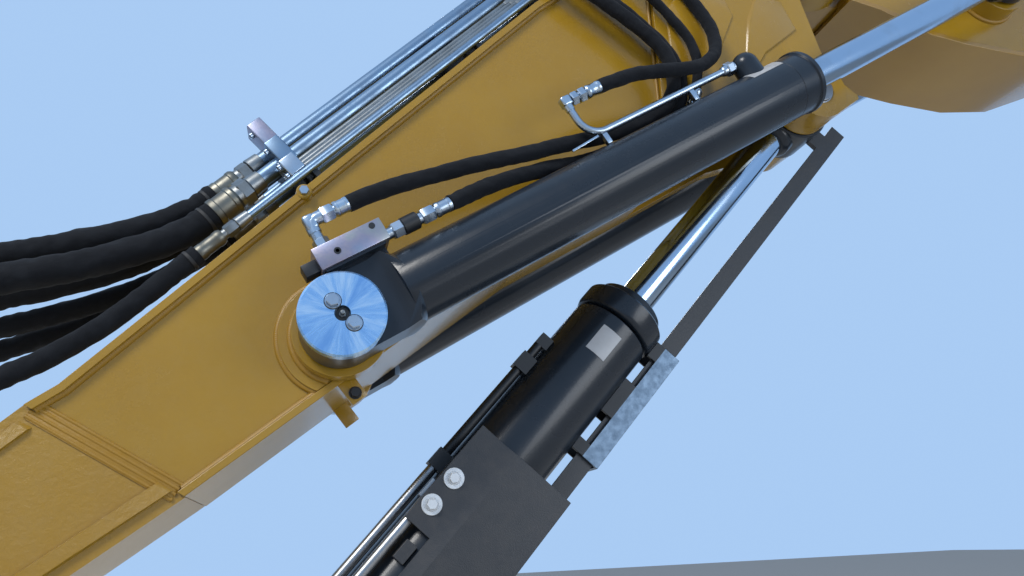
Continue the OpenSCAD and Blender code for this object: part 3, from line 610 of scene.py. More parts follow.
tab_frame = sloped(BOOM_LOW[1][0], 0, BOOM_LOW[1][1], rise(BOOM_LOW[1], BOOM_LOW[2]))
tab, tab_bolts = bmesh.new(), bmesh.new()
for side in (-1, 1):
    box(tab, (TAB_LOW[0], side * TAB_Y - TAB_HALF, TAB_LOW[1]), (TAB_HIGH[0], side * TAB_Y + TAB_HALF,
        TAB_HIGH[1]), tab_frame, 1.5)
    seat = tab_frame @ facing((TAB_BOLT_PLACE[0], side * (TAB_Y + TAB_HALF), TAB_BOLT_PLACE[1]), (0, side, 0))
    disc(tab_bolts, 0, 2, 12, seat, 0.5)
    hexed(tab_bolts, 2, 12, 17, seat)
to_piece(tab, "line_tabs", boom_paint)
to_piece(tab_bolts, "line_tab_bolts", grease_and_shade)

# Upper boom
# The second boom piece is a welded box as well. Its tongue sits between the cheeks of the head,
# and bosses on its sides carry the adjusting cylinders.
UPPER_EDGE = 1.8
UPPER_LOW = [(2123, 1413), (2266, 1354), (2374, 1337), (2550, 1322), (2720, 1341), (2891, 1408), (3990, 1707)]
UPPER_TOP = [(2060, 1716), (2250, 1772), (2450, 1800), (2700, 1822), (3990, 1883)]
# A darker copy of the boom paint for the upper boom's root, bulkhead and bottom plate: painted shade on the
# parts that face away from the light.
painted_shade_yellow = finish_material("painted_shade_yellow", PAINT_GROUP, Paint=(0.33, 0.185, 0.016),
    Deep=(0.21, 0.105, 0.010), Dust_Amount=0.2, Coat_Weight=0.5, Coat_Roughness=0.09)
for node in ("upper_root", "upper_bulkhead", "upper_webs", "upper_top_plate", "upper_bottom_plate",
        "upper_tip", "arm_cylinder_lug", "adj_eye_bosses"):
    shade_painted = node in ("upper_root", "upper_bulkhead", "upper_bottom_plate")
    dressed(node, painted_shade_yellow if shade_painted else boom_paint, "upper_boom", UPPER_EDGE)
weld("upper_seams", [[(x, side * (WEB_Y + 3), z) for x, z in shifted(line, amount)] for side in (-1, 1)
    for line, amount in ((UPPER_LOW, -PLATE - 2), (UPPER_TOP, PLATE + 2))], 6.5, "upper_boom")
weld("eye_boss_seams", [arc(ROD_EYE, 90, 0, 360, side * (WEB_Y + 4)) for side in (-1, 1)], 6.0, "upper_boom")

# Adjusting cylinders
# Two hydraulic cylinders in gloss anthracite paint: a forged eye, a honed tube, a screwed gland
# with a wiper ring, and a ground and chromed rod that shines like a mirror.
ADJ_R, ADJ_ROD_R, ADJ_Y, GLAND_END, GLAND, BARREL_EDGE = 70.0, 36.5, 235, 1190.0, 60.0, 3.0
ADJ_LENGTH = math.dist(BASE_PIN, ROD_EYE)
PISTON_X, PISTON_R, PISTON_T, EYE_R, EYE_BORE, EYE_HALF = ADJ_LENGTH - 1060, 54, 70, 75, 35.3, 37
LABEL_STEPS, LABEL_T = 10, 0.8
ADJ = {side: sloped(BASE_PIN[0], side * ADJ_Y, BASE_PIN[1], rise(BASE_PIN, ROD_EYE)) for side in (-1, 1)}
# The valve side's frame is the right cylinder's, and its mirror image on the left
BLOCK = {side: ADJ[side] @ Matrix.Scale(-side, 4, (0, 1, 0)) for side in (-1, 1)}
cylinder_paint = finish_material("cylinder_paint", PAINT_GROUP, Paint=(0.012, 0.018, 0.028),
    Deep=(0.017, 0.023, 0.034), Dust=(0.09, 0.09, 0.09), Dust_Amount=0.12, Peel=0.12, Gloss=0.24,
    Coat_Weight=0.12, Coat_Roughness=0.08, Specular_IOR_Level=0.34)
black_paint = finish_material("black_paint", PAINT_GROUP, Paint=(0.008, 0.010, 0.013),
    Deep=(0.012, 0.014, 0.017), Dust=(0.08, 0.075, 0.07), Dust_Amount=0.25, Peel=0.2, Gloss=0.42)
foil = finish_material("label_foil", PAINT_GROUP, Paint=(0.46, 0.49, 0.54), Deep=(0.36, 0.39, 0.44),
    Dust=(0.20, 0.19, 0.18), Dust_Amount=0.8, Peel=0.05, Gloss=0.38)
rubber = finish_material("rubber", PAINT_GROUP, Paint=(0.010, 0.010, 0.011), Deep=(0.014, 0.014, 0.015),
    Dust=(0.09, 0.085, 0.08), Dust_Amount=0.5, Peel=0.3, Gloss=0.6)
tree, given, made = shader_group("ground_chrome", Chrome=(0.42, 0.53, 0.66), Oil=(0.30, 0.36, 0.42))
place = object_place(tree)
film = noise_node(place, 9.0, 4.0, 0.6)
feed(mixed(ranged(film, 0.5, 0.75, 0.0, 0.5), given["Chrome"], given["Oil"]), made["Color"])
feed(ranged(film, 0.4, 0.75, 0.13, 0.24), made["Roughness"])
feed(bumped(noise_node(place, 900.0, 2.0, 0.6), 0.03, 0.0002), made["Normal"])
rod_chrome = finish_material("rod_chrome", tree, Metallic=1.0)


def moved(x0, profile):
    return [(x0 + x, radius) for x, radius in profile]


def lathe(name, profile, material, own_frame, body, replaced=(), sides=96, chamfer=0.0):
    """A finished piece that is one body of revolution round its frame's X axis."""
    bm = bmesh.new()
    turned(bm, profile, sides=sides, chamfer=chamfer)
    to_piece(bm, name, material, own_frame, replaced, body)


def blank_label(name, x0, x1, turn0, turn1, radius, body, own_frame):
    """A thin blank foil plate that follows a cylinder round its frame's X axis."""
    bm = bmesh.new()
    turns = [math.radians(turn0 + (turn1 - turn0) * i / LABEL_STEPS) for i in range(LABEL_STEPS + 1)]
    grid = [[bm.verts.new((x, -r * math.sin(turn), r * math.cos(turn))) for turn in turns] for x in (x0, x1)
        for r in (radius, radius - LABEL_T)]
    faces = [bm.faces.new((grid[a][i], grid[a][i + 1], grid[b][i + 1], grid[b][i]))
        for i in range(LABEL_STEPS) for a, b in ((0, 2), (0, 1), (2, 3))]
    faces += [bm.faces.new((grid[0][i], grid[1][i], grid[3][i], grid[2][i])) for i in (0, LABEL_STEPS)]
    bmesh.ops.recalc_face_normals(bm, faces=faces)
    to_piece(bm, name, foil, own_frame, body=body)


for side, word in SIDES:
    barrel_body, rod_body = "adj_barrel_" + word, "adj_rod_" + word
    dressed(barrel_body, cylinder_paint, barrel_body, BARREL_EDGE)
    lathe("adj_gland_ring_" + word, moved(GLAND_END, [(-GLAND, 60), (-GLAND, ADJ_R), (-12, ADJ_R),
        (-12, ADJ_R + 4), (0, ADJ_R + 4), (0, 46), (-3, 44), (-3, 38)]), cylinder_paint,
        ADJ[side], barrel_body, ("adj_gland_" + word,), chamfer=1.6)
    lathe("adj_wiper_" + word, moved(GLAND_END, [(-4, 37.4), (-4, 45.5), (2.5, 44), (5, 38.5), (4, 37)]),
        rubber, ADJ[side], barrel_body, sides=72)
    lathe("adj_rod_shaft_" + word, [(PISTON_X, 0), (PISTON_X, PISTON_R), (PISTON_X + PISTON_T, PISTON_R),
        (PISTON_X + PISTON_T, ADJ_ROD_R), (ADJ_LENGTH - 84, ADJ_ROD_R), (ADJ_LENGTH - 84, 0)], rod_chrome,
        ADJ[side], rod_body, (rod_body,), sides=128)
    eye = bmesh.new()
    turned(eye, moved(ADJ_LENGTH, [(-92, 0), (-92, 50), (-78, 56), (-40, 50), (-40, 0)]), sides=64)
    turned(eye, [(-EYE_HALF, EYE_BORE), (-EYE_HALF, EYE_R - 3), (-34, EYE_R), (34, EYE_R),
        (EYE_HALF, EYE_R - 3), (EYE_HALF, EYE_BORE), (-EYE_HALF, EYE_BORE)],
        facing((ADJ_LENGTH, 0, 0), (0, 1, 0)), 96)
    to_piece(eye, "adj_rod_eye_" + word, cylinder_paint, ADJ[side], body=rod_body)
    dressed("adj_eye_pin_" + word, pin_steel, rod_body, 2.5)
    blank_label("adj_label_" + word, 1037, 1128, 22, 50, ADJ_R + 0.9, barrel_body, BLOCK[side])

# Valve blocks
# Each adjusting cylinder carries a lowering valve: a milled steel block with iridescent
# passivated zinc on the barrel's seat pad, with screwed elbows, a collar and crimped hoses.
ELBOW_X, ELBOW_Y, ELBOW_Z = 36, -30, 185
LINE_START, LINE_Z = 143, 100
PORT_X, PORT_Y = 937, 43
block_zinc, tree, shader = new_material("block_zinc")
place = object_place(tree)
fine = noise_node(place, 320.0, 4.0, 0.6)
feed(0.85, shader["Metallic"])
feed(ramp(noise_node(place, 13.0, 3.0, 0.5), ((0.30, (0.25, 0.32, 0.42)), (0.42, (0.29, 0.30, 0.40)),
    (0.52, (0.34, 0.31, 0.38)), (0.62, (0.35, 0.36, 0.36)), (0.72, (0.28, 0.30, 0.41)))),
    shader["Base Color"])
feed(ranged(fine, 0.3, 0.7, 0.3, 0.46), shader["Roughness"])
feed(bumped(fine, 0.15, 0.0003), shader["Normal"])


def bent_tube(bm, points, radius, sides=20):
    """Adds a closed tube with rings square to a line of points."""
    rings = []
    for i, point in enumerate(points):
        run = (Vector(points[min(i + 1, len(points) - 1)]) - Vector(points[max(i - 1, 0)])).normalized()
        u = run.cross(Vector((0.13, 0.97, 0.21))).normalized()
        v = run.cross(u)
        turns = [2 * math.pi * k / sides for k in range(sides)]
        rings.append([bm.verts.new(Vector(point) + radius * (u * math.cos(turn) + v * math.sin(turn)))
            for turn in turns])
    faces = [bm.faces.new((a[k], a[(k + 1) % sides], b[(k + 1) % sides], b[k]))
        for a, b in zip(rings, rings[1:]) for k in range(sides)]
    faces += [bm.faces.new(rings[0][::-1]), bm.faces.new(rings[-1])]
    bmesh.ops.recalc_face_normals(bm, faces=faces)


def crimp(bm, matrix, length, radius):
    """Adds a swaged hose ferrule along local X, with rolled ends and a waist."""
    turned(bm, [(length * along, radius * share) for along, share in ((0, 0.72), (0, 0.97), (0.06, 1),
        (0.2, 1), (0.24, 0.94), (0.72, 0.94), (0.76, 1), (0.9, 1), (1, 0.86), (1, 0))], matrix)


for side, word in SIDES:
    body, own_frame = "adj_barrel_" + word, BLOCK[side]
    block, plug, steel = bmesh.new(), bmesh.new(), bmesh.new()
    box(block, (8, -61, 84), (LINE_START, 9, 127), edge=1.4)
    to_piece(block, "valve_body_" + word, block_zinc, own_frame, ("valve_block_" + word,),
        body=body)
    box(plug, (-20, -50, 88), (8, -16, 112), edge=1.5)
    turned(plug, [(0, 0), (0, 6.5), (1.0, 6.5), (1.0, 3.5), (-2, 3.0), (-2, 0)],
        facing((48, -61, 104), (0, -1, 0)), 24)
    turned(plug, [(0, 0), (0, 6.0), (1.2, 5.6), (1.2, 0)], facing((124, -61, 118), (0, -1, 0)), 24)
    to_piece(plug, "valve_plug_" + word, black_paint, own_frame, body=body)
    riser = facing((ELBOW_X, ELBOW_Y, 127), (0, 0, 1))
    disc(steel, 0, 4, 14, riser, 0.8)
    hexed(steel, 4, 20, 27, riser)
    disc(steel, 20, 46, 10.5, riser, 0.8)
    bent_tube(steel, [(x, ELBOW_Y, z) for x, z in ((ELBOW_X, 160), (36.5, 172), (39, 180), (45, 184.5),
        (52, ELBOW_Z), (64, ELBOW_Z))], 12.5)
    box(steel, (26, -42, 166), (48, -18, 196), edge=5, segments=3)
    elbow = facing((60, ELBOW_Y, ELBOW_Z), (1, 0, 0))
    hexed(steel, 0, 24, 29, elbow)
    disc(steel, 24, 30, 10, elbow)
    line = facing((LINE_START, ELBOW_Y, LINE_Z), (1, 0, 0))
    disc(steel, 0, 16, 11, line, 0.8)
    hexed(steel, 15, 38, 29, line)
    turned(steel, [(70, 0), (70, 11.5), (78, 11.5), (78, 10), (110, 10), (110, 0)], line, chamfer=0.8)
    hexed(steel, 78, 104, 29, line)
    crimp(steel, facing((115, ELBOW_Y, ELBOW_Z), (-1, 0, 0)), 28, 15)
    crimp(steel, facing((284, ELBOW_Y, LINE_Z), (-1, 0, 0)), 34, 15)
    turned(steel, [(22, 0), (22, 14), (30, 14), (30, 11.5), (37, 11.5), (40, 0)],
        facing((PORT_X, PORT_Y, 40), (0, 0, 1)), chamfer=0.8)
    crimp(steel, facing((966.7, PORT_Y, 104.7), (-0.7071, 0, -0.7071)), 40, 15)
    to_piece(steel, "valve_fittings_" + word, zinc, own_frame, ("block_fittings_" + word,),
        body=body)
    collar = bmesh.new()
    disc(collar, 36, 70, 17, line, 2.0, 40)
    to_piece(collar, "valve_collar_" + word, black_paint, own_frame, body=body)

# Steel tubes
# A bent hydraulic tube brings oil from the valve side to the gland's port. It is zinc-plated,
# screwed into the port boss and tied to the barrel by a flat strap.
TUBE_R, TUBE_Y, TUBE_Z, TUBE_BEND_R, TUBE_BEND_X, TUBE_HOSE_Z = 8.0, -15, 100, 45, 672, 191
TUBE_CLIPS = (655, 900)
for side, word in SIDES:
    body, own_frame = "adj_barrel_" + word, BLOCK[side]
    tube, strap = bmesh.new(), bmesh.new()
    bend = [(TUBE_BEND_X - TUBE_BEND_R * math.sin(math.radians(turn)), TUBE_Y,
        TUBE_Z + TUBE_BEND_R - TUBE_BEND_R * math.cos(math.radians(turn))) for turn in range(0, 91, 10)]
    bent_tube(tube, [(1020, TUBE_Y, TUBE_Z), (850, TUBE_Y, TUBE_Z)] + bend + [(TUBE_BEND_X - TUBE_BEND_R,
        TUBE_Y, 178)], TUBE_R)
    port = facing((1041, TUBE_Y, TUBE_Z), (-1, 0, 0))
    disc(tube, 0, 5, 13, port, 0.8)
    hexed(tube, 4, 23, 28, port)
    turned(tube, [(23, 0), (23, 12), (32, 11), (35, 8)], port, chamfer=0.5)
    turned(tube, [(0, 0), (0, 9.5), (20, 11), (26, 11), (26, 0)],
        facing((TUBE_BEND_X - TUBE_BEND_R, TUBE_Y, 168), (0, 0, 1)), chamfer=0.5)
    box(tube, (616, -26, 180), (640, -4, 203), edge=5, segments=3)
    elbow = facing((636, TUBE_Y, TUBE_HOSE_Z), (1, 0, 0))
    hexed(tube, 4, 20, 27, elbow)
    disc(tube, 20, 26, 10, elbow)
    hexed(tube, 24, 40, 29, elbow)
    disc(tube, 38, 48, 10, elbow)
    crimp(tube, facing((716, TUBE_Y, TUBE_HOSE_Z), (-1, 0, 0)), 36, 15)
    for x in TUBE_CLIPS:
        box(tube, (x, -21, 69), (x + 12, -9, 93), edge=0.8)
    to_piece(tube, "steel_tube_" + word, zinc, own_frame, ("adj_tube_" + word,), body=body)
    box(strap, (574, -19, -2.2), (645, -15, 2.2), edge=0.6)
    tilt = sloped(610, -3, 137 - 46, math.radians(4)) @ Matrix.Translation((-610, 0, 0))
    to_piece(strap, "tube_strap_" + word, zinc, own_frame @ tilt, body=body)

# Hoses
# Rubber hydraulic hoses in woven black textile sleeves that protect hands from a burst. The
# sleeves are looser than the hoses, so they wrinkle and gather near the crimped ends.
HOSE_SIDES, HOSE_RINGS, GATHER_LENGTH = 20, 312, 0.09
FERRULE, HOSE_END = 60, 106
# Route points of the right cylinder's hoses, then their radii
BLOCK_ROUTES = [
    [(756, -265, 718), (813, -263, 748), (889, -254, 782), (992, -240, 826), (1094, -224, 864),
     (1192, -214, 902), (1290, -208, 934), (1355, -207, 962), (1409, -206, 994), (1448, -206, 1030),
     (1469, -206, 1077), (1469, -206, 1129), (1448, -206, 1177), (1404, -205, 1221), (1330, -202, 1280),
     (1250, -196, 1338)],
    [(944, -265, 730), (999, -254, 765), (1063, -232, 804), (1151, -204, 846), (1250, -184, 884),
     (1345, -174, 930), (1396, -172, 958), (1443, -172, 990), (1483, -172, 1032), (1504, -172, 1088),
     (1502, -172, 1146), (1476, -172, 1199), (1432, -172, 1245), (1372, -172, 1298), (1302, -172, 1356)],
    [(1271, -250, 1027), (1343, -250, 1062), (1412, -250, 1082), (1480, -244, 1099), (1536, -232, 1126),
     (1579, -212, 1173), (1597, -192, 1231), (1591, -179, 1286), (1567, -173, 1336), (1524, -172, 1396)],
    [(1531, -192, 1080), (1543, -188, 1130), (1549, -182, 1183), (1535, -175, 1240), (1501, -172, 1290),
     (1464, -172, 1334), (1422, -172, 1381)],
]
BLOCK_RADII = [17, 17, 16, 12]
tree, given, made = shader_group("sleeve_weave", Thread=(0.006, 0.0075, 0.011), Worn=(0.014, 0.017, 0.023),
    Threads_Along=900.0, Threads_Round=60.0)
sleeve_uv = tree.nodes.new("ShaderNodeUVMap")
sleeve_uv.uv_map = "sleeve"
thread = split(sleeve_uv.outputs["UV"])
round_turns = maths("MULTIPLY", given["Threads Round"], 2 * math.pi)
weave = maths("MULTIPLY", maths("SINE", maths("MULTIPLY", thread["X"], given["Threads Along"])),
    maths("SINE", maths("MULTIPLY", thread["Y"], round_turns)))
place = object_place(tree)
wear = noise_node(place, 18.0, 5.0, 0.65)
feed(mixed(ranged(wear, 0.45, 0.8, 0.0, 0.9), given["Thread"], given["Worn"]), made["Color"])
feed(ranged(wear, 0.3, 0.8, 0.8, 0.95), made["Roughness"])
folds = bumped(noise_node(place, 45.0, 2.0, 0.5), 0.5, 0.006)
feed(bumped(weave, 0.35, 0.0006, Normal=folds), made["Normal"])
sleeve = finish_material("sleeve_textile", tree, Sheen_Weight=0.04, Sheen_Roughness=0.5,
    Specular_IOR_Level=0.2)


def spline(points, steps):
    """Points on the same smooth line that the part's source draws through its route points."""
    out = []
    for i in range(len(points) - 1):
        a, b = Vector(points[max(i - 1, 0)]), Vector(points[i])
        c, d = Vector(points[i + 1]), Vector(points[min(i + 2, len(points) - 1)])
        for k in range(steps):
            t = k / steps
            out.append(0.5 * (2 * b + (c - a) * t + (2 * a - 5 * b + 4 * c - d) * t * t
                              + (3 * b - a - 3 * c + d) * t ** 3))
    return out + [Vector(points[-1])]


def sleeved_hose(name, route, radius_mm, node, body, seed, ending, mirror=1):
    """A wrinkled textile sleeve round a hose along a route in millimetres, with its crimped end."""
    rng = random.Random(seed)
    radius = radius_mm / 1000
    route = [(x / 1000, mirror * y / 1000, z / 1000) for x, y, z in route]
    line = spline(route, int(HOSE_RINGS / len(route)))
    lengths = [0.0]
    for before, point in zip(line, line[1:]):
        lengths.append(lengths[-1] + (point - before).length)
    phase = [rng.uniform(0, 6.28) for _ in range(3)]
    verts, faces, uvs = [], [], []
    for i, (point, s) in enumerate(zip(line, lengths)):
        run = (line[min(i + 1, len(line) - 1)] - line[max(i - 1, 0)]).normalized()
        u = run.cross(Vector((0.05, 1, 0.02))).normalized()
        v = run.cross(u)
        gather = max(0.0, 1 - min(s, lengths[-1] - s) / GATHER_LENGTH)
        for k in range(HOSE_SIDES):
            a = 2 * math.pi * k / HOSE_SIDES
            ripple = (math.sin(s * 240 + phase[0] + 1.7 * math.sin(a + phase[1]))
                      * (0.5 + 0.5 * math.sin(2 * a + phase[2] + s * 22)))
            wave = noise.noise(Vector((s * 34, math.cos(a) * 1.4, math.sin(a) * 1.4 + seed * 3.1)))
            r = radius * (0.955 + 0.036 * ripple * (0.5 + gather) + 0.11 * wave)
            verts.append(point + r * (u * math.cos(a) + v * math.sin(a)))
    for i in range(len(line) - 1):
        for k in range(HOSE_SIDES):
            start, end, n = i * HOSE_SIDES, (i + 1) * HOSE_SIDES, (k + 1) % HOSE_SIDES
            faces.append((start + k, start + n, end + n, end + k))
            uvs += [(lengths[i], k / HOSE_SIDES), (lengths[i], (k + 1) / HOSE_SIDES),
                (lengths[i + 1], (k + 1) / HOSE_SIDES), (lengths[i + 1], k / HOSE_SIDES)]
    faces += [tuple(range(HOSE_SIDES - 1, -1, -1)), tuple(range(len(verts) - HOSE_SIDES, len(verts)))]
    uvs += [(0.0, 0.5)] * (2 * HOSE_SIDES)
    mesh = bpy.data.meshes.new(name)
    mesh.from_pydata(verts, [], faces)
    layer = mesh.uv_layers.new(name="sleeve")
    for index, uv in enumerate(uvs):
        layer.data[index].uv = uv
    bm = bmesh.new()
    bm.from_mesh(mesh)
    bmesh.ops.recalc_face_normals(bm, faces=bm.faces)
    bm.to_mesh(mesh)
    bm.free()
    mesh.materials.append(sleeve)
    piece = finished(name, mesh, body, (node,), 60)
    seat = facing(line[-1] * 1000, (Vector(route[-1]) - Vector(route[-2])).normalized())
    end = bmesh.new()
    crimp(end, seat, FERRULE, radius_mm + 1)
    disc(end, FERRULE, 75, radius_mm - 6, seat)
    hexed(end, 74, HOSE_END, radius_mm * 1.75, seat)
    end_piece = to_piece(end, name + "_end", zinc_dull, replaced=ending, body=body)


for side, word in SIDES:
    for index, (route, radius) in enumerate(zip(BLOCK_ROUTES, BLOCK_RADII)):
        sleeved_hose(f"cylinder_hose_{word}_{index + 1}", route, radius, f"block_hose_{word}_{index + 1}",
            "adj_barrel_" + word, 10 + index, ("block_ends_" + word,) if index == 0 else (), -side)

# Hoist cylinder
# The lifting cylinder hangs from the head. Its gland is a flange with a smaller ring, an angle iron guards
# its rod and slides in a zinc rail, and a plate shields its side. The guide's part below the rail is painted
# black. It stands for black tabs and is also painted shade on the guide's dark face.
HOIST = sloped(1890, 0, 1150, math.radians(227.5))
HOIST_R, HOIST_ROD_R, HOIST_ROD_END = 92.0, 41.0, 1240.0
HOIST_EYE_R, HOIST_EYE_HALF, HOIST_EYE_BORE = 84.0, 59, 40.3
HOIST_PISTON_R, HOIST_PISTON_START, HOIST_PISTON_END = 73, HOIST_ROD_END - 60, HOIST_ROD_END + 20
GUIDE_RAIL_Z, TUBE_BARE_X = 117, 1330
GUARD_BOLTS, GUARD_BOLT_Y = [(1296, -62), (1359, -62)], -108
guard_paint = finish_material("guard_paint", PAINT_GROUP, Paint=(0.026, 0.029, 0.035),
    Deep=(0.036, 0.038, 0.044), Dust=(0.15, 0.14, 0.13), Dust_Amount=0.45, Peel=0.5, Peel_Scale=520.0,
    Gloss=0.4)
lathe("hoist_rod_shaft", [(60, 0), (60, HOIST_ROD_R), (HOIST_PISTON_START, HOIST_ROD_R),
    (HOIST_PISTON_START, HOIST_PISTON_R), (HOIST_PISTON_END, HOIST_PISTON_R), (HOIST_PISTON_END, 0)],
    rod_chrome, HOIST, "hoist_rod", ("hoist_rod",), sides=128)
eye, gland, bolts = bmesh.new(), bmesh.new(), bmesh.new()
turned(eye, [(-HOIST_EYE_HALF, HOIST_EYE_BORE), (-HOIST_EYE_HALF, HOIST_EYE_R - 3), (-56, HOIST_EYE_R),
    (56, HOIST_EYE_R), (HOIST_EYE_HALF, HOIST_EYE_R - 3), (HOIST_EYE_HALF, HOIST_EYE_BORE),
    (-HOIST_EYE_HALF, HOIST_EYE_BORE)], facing((0, 0, 0), (0, 1, 0)), 128)
turned(eye, [(50, 0), (50, 58), (88, 56), (100, 46), (100, 0)], sides=96, chamfer=2.0)
to_piece(eye, "hoist_rod_eye", cylinder_paint, HOIST, body="hoist_rod")
dressed("rod_guard", guard_paint, "hoist_rod", 0.8)
dressed("hoist_barrel", cylinder_paint, "hoist_barrel", BARREL_EDGE)
turned(gland, [(721, 42.5), (721, 78), (745, 82), (745, 98), (790, 98), (798, 93), (798, 75)], sides=96,
    chamfer=4.0)
for turn in (200, 232):
    bump = Matrix.Rotation(math.radians(turn), 4, "X") @ Matrix.Translation((733, 0, 66))
    disc(gland, -13, 10, 22, bump, 4, 40)
to_piece(gland, "hoist_flange", cylinder_paint, HOIST, ("hoist_gland",),
    body="hoist_barrel")
lathe("hoist_wiper", [(722, 41.4), (722, 52), (717, 50), (715, 43), (717, 41.3)], rubber,
    HOIST, "hoist_barrel", sides=72)
blank_label("hoist_label", 838, 905, 78, 108, HOIST_R + 0.9, "hoist_barrel", HOIST)


def recoloured(piece, material, chosen):
    """Gives a second material to the faces whose middle, in the hoist cylinder's frame, is chosen."""
    piece.data.materials.append(material)
    to_hoist = HOIST.inverted()
    for face in piece.data.polygons:
        if chosen(to_hoist @ (face.center * 1000)):
            face.material_index = 1


guide = dressed("guard_guide", guide_zinc, "hoist_barrel", 1.0)
cut = bmesh.new()
cut.from_mesh(guide.data)
bmesh.ops.bisect_plane(cut, geom=cut.verts[:] + cut.edges[:] + cut.faces[:],
    plane_co=(HOIST @ Vector((0, 0, GUIDE_RAIL_Z))) / 1000, plane_no=HOIST.to_3x3() @ Vector((0, 0, 1)))
cut.to_mesh(guide.data)
cut.free()
# The guide's faces below the rail get black paint: black tabs, and painted shade on the guide's dark face.
recoloured(guide, black_paint, lambda middle: middle.z < GUIDE_RAIL_Z)
dressed("guard_plate", guard_paint, "hoist_barrel", 1.2)
tubes = dressed("hoist_tubes", black_paint, "hoist_barrel", 1.0)
recoloured(tubes, pin_steel, lambda middle: middle.x > TUBE_BARE_X)
for x, z in GUARD_BOLTS:
    seat = facing((x, GUARD_BOLT_Y, z), (0, -1, 0))
    disc(bolts, 0, 2.6, 20, seat, 0.8, 40)
    turned(bolts, [(2.6, 0), (2.6, 13), (4.2, 12), (4.2, 0)], seat)
    hexed(bolts, 4.2, 13, 19, seat)
to_piece(bolts, "guard_bolts", washer_zinc, HOIST, body="hoist_barrel")

# Pipes on the boom
# Zinc-plated steel pipes run along the boom's top through clamp plates. Square flange blocks hold the thick
# lines. Each main line has a nut and a swaged hose end, with a rubber tie on its hose, and each thin pipe
# ends in a nut.
PIPE_LENGTH, THIN_LENGTH, THIN_R, CLAMP_WIDTH, PIPE_TILT = 900, 650, 7, 12, math.radians(0.7)
TOP = sloped(BOOM_TOP[2][0], 0, BOOM_TOP[2][1], rise(BOOM_TOP[2], BOOM_TOP[3]) - PIPE_TILT)
# Side place, height, start, pipe radius, hose radius and crimp radius of each line
PIPE_ROWS = [(-130, 30, -180, 9, 20, 16), (-60, 100, -93, 18, 30, 31), (-20, 147, -55, 18, 26, 25),
             (22, 120, -75, 12, 23, 20), (60, 85, -75, 12, 22, 20), (98, 120, -75, 12, 22, 20)]
THIN_ROWS = [(-118, 44), (-100, 58), (-84, 72)]
# Place and tip height of each clamp plate, and its outline round the lines and the tip
CLAMP_ROWS = [(0, 150), (485, 164), (800, 164)]
CLAMP_LEFT = [(-130, -12), (-130, 30), (-118, 44), (-100, 58), (-84, 72), (-60, 100), (-20, 147)]
CLAMP_RIGHT = [(60, 140), (118, 130), (130, -12)]
CLAMP_SCREWS = [(-112, 22), (-60, 40), (40, 60)]
# Low corner, size and material of each flange block
BLOCK_ROWS = [((-5, -52, 120), (35, 58, 97), block_zinc), ((-20, -95, 80), (35, 65, 65), zinc_blue),
              ((-35, -126, 42), (36, 54, 42), zinc)]
# Route points of the hose on each line
HOSE_ROUTES = [
    [(487, -130, 657), (448, -130, 619), (401, -129, 573), (342, -128, 519), (261, -126, 461),
     (165, -126, 407)],
    [(500, -60, 768), (458, -61, 732), (402, -65, 699), (338, -70, 671), (263, -76, 644), (118, -78, 606)],
    [(494, -20, 828), (451, -20, 794), (394, -20, 763), (329, -20, 737), (253, -20, 713), (166, -20, 690),
     (93, -20, 673)],
    [(499, 22, 795), (454, 22, 755), (397, 23, 715), (327, 25, 678), (244, 26, 645), (148, 26, 616),
     (85, 26, 600)],
    [(523, 60, 770), (476, 62, 731), (412, 68, 686), (340, 76, 648), (260, 78, 615), (167, 78, 582),
     (79, 78, 555)],
    [(499, 98, 795), (456, 102, 753), (406, 111, 704), (345, 124, 652), (269, 130, 604), (177, 132, 564),
     (66, 132, 519)],
]
pipes, thin_pipes, fittings, crimps, ties, clamps, screws, edge_boss = (bmesh.new() for _ in range(8))
for y, h, start, pipe_r, hose_r, crimp_r in PIPE_ROWS:
    disc(pipes, start, PIPE_LENGTH, pipe_r, Matrix.Translation((0, y, h)), sides=48)
    back = facing((start, y, h), (-1, 0, 0))
    crimp(crimps, facing((start - 95, y, h), (1, 0, 0)), 57, crimp_r)
    disc(fittings, 27, 41, crimp_r - 6, back, sides=40)
    hexed(fittings, 4, 30, (crimp_r - 2) * 1.73, back)
    turned(fittings, [(-26, 0), (-26, pipe_r + 3), (4, pipe_r + 5), (4, 0)], back, 40, 1.0)
    turned(ties, [(-118, hose_r - 3), (-118, hose_r + 1), (-111, hose_r + 1), (-111, hose_r - 3)],
        Matrix.Translation((start, y, h)), 40, 0.8)
    end = facing((PIPE_LENGTH, y, h), (1, 0, 0))
    hexed(fittings, 0, 28, (pipe_r + 8) * 1.73, end)
    turned(fittings, [(28, 0), (28, pipe_r + 5), (40, pipe_r + 4), (40, 0)], end, 40, 1.0)
for y, h in THIN_ROWS:
    disc(thin_pipes, 1, THIN_LENGTH, THIN_R, Matrix.Translation((0, y, h)))
    hexed(fittings, 0, 40, 15.6, facing((THIN_LENGTH, y, h), (1, 0, 0)))
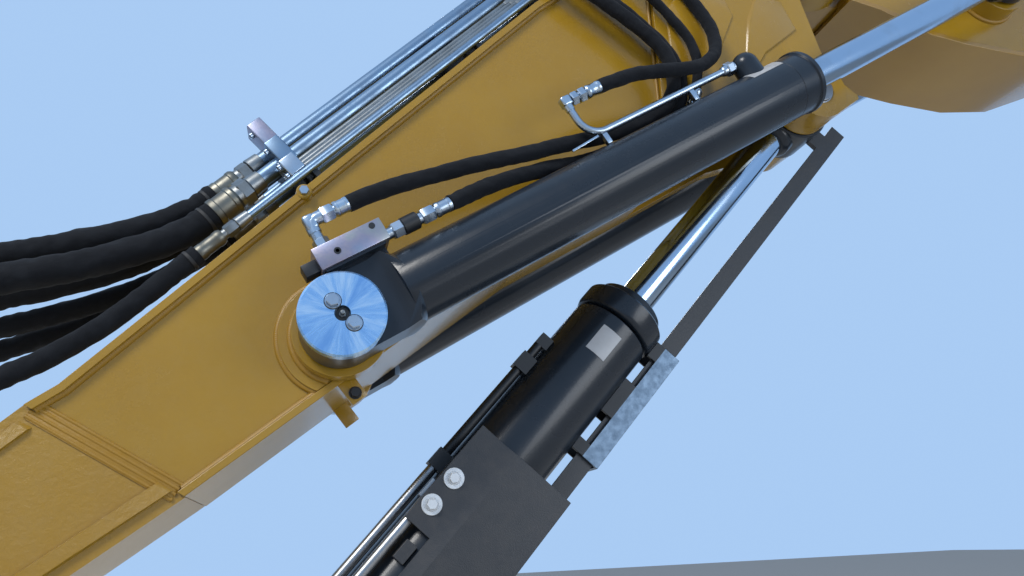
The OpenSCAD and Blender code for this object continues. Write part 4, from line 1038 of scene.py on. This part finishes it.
to_piece(pipes, "pipes", zinc_blue, TOP, ("boom_pipes",))
to_piece(thin_pipes, "thin_pipes", zinc_dull, TOP)
to_piece(fittings, "pipe_fittings", zinc_dull, TOP, ("hose_fittings",))
to_piece(crimps, "pipe_crimps", zinc_olive, TOP)
to_piece(ties, "hose_ties", rubber, TOP)
for start, tip in CLAMP_ROWS:
    outline = CLAMP_LEFT + [(-8, tip), (14, tip)] + CLAMP_RIGHT
    near, far = ([clamps.verts.new((start + x, y, h)) for y, h in outline] for x in (0, CLAMP_WIDTH))
    clamps.faces.new(near[::-1])
    clamps.faces.new(far)
    for i in range(len(outline)):
        n = (i + 1) % len(outline)
        clamps.faces.new((near[i], near[n], far[n], far[i]))
    for y, h in CLAMP_SCREWS:
        hexed(clamps, 0, 7, 17, facing((start, y, h), (-1, 0, 0)))
bmesh.ops.recalc_face_normals(clamps, faces=clamps.faces)
to_piece(clamps, "clamp_plates", black_paint, TOP, ("pipe_clamps",))
for index, (low, size, material) in enumerate(BLOCK_ROWS):
    flange = bmesh.new()
    box(flange, low, [low[i] + size[i] for i in range(3)], edge=3.0, segments=3)
    to_piece(flange, f"flange_block_{index + 1}", material, TOP)
    for share in (0.2, 0.8):
        seat = facing((low[0], low[1] + size[1] * 0.24, low[2] + share * size[2]), (-1, 0, 0))
        turned(screws, [(0, 0), (0, 7), (7, 7), (7, 4), (3, 3.6), (3, 0)], seat, chamfer=0.7)
edge_seat = facing((-48, -BOOM_WIDTH / 2 - 3, -7), (0, -1, 0))
hexed(screws, 0, 7, 17, edge_seat)
to_piece(screws, "flange_screws", zinc, TOP)
turned(edge_boss, [(-20, 0), (-20, 17), (0, 15), (0, 0)], edge_seat, 40, 2.0)
to_piece(edge_boss, "edge_boss", boom_paint, TOP)
for index, (route, row) in enumerate(zip(HOSE_ROUTES, PIPE_ROWS)):
    sleeved_hose(f"machine_hose_{index + 1}", route, row[4], f"boom_hose_{index + 1}", "base_boom",
        30 + index, ("hose_ends",) if index == 0 else ())
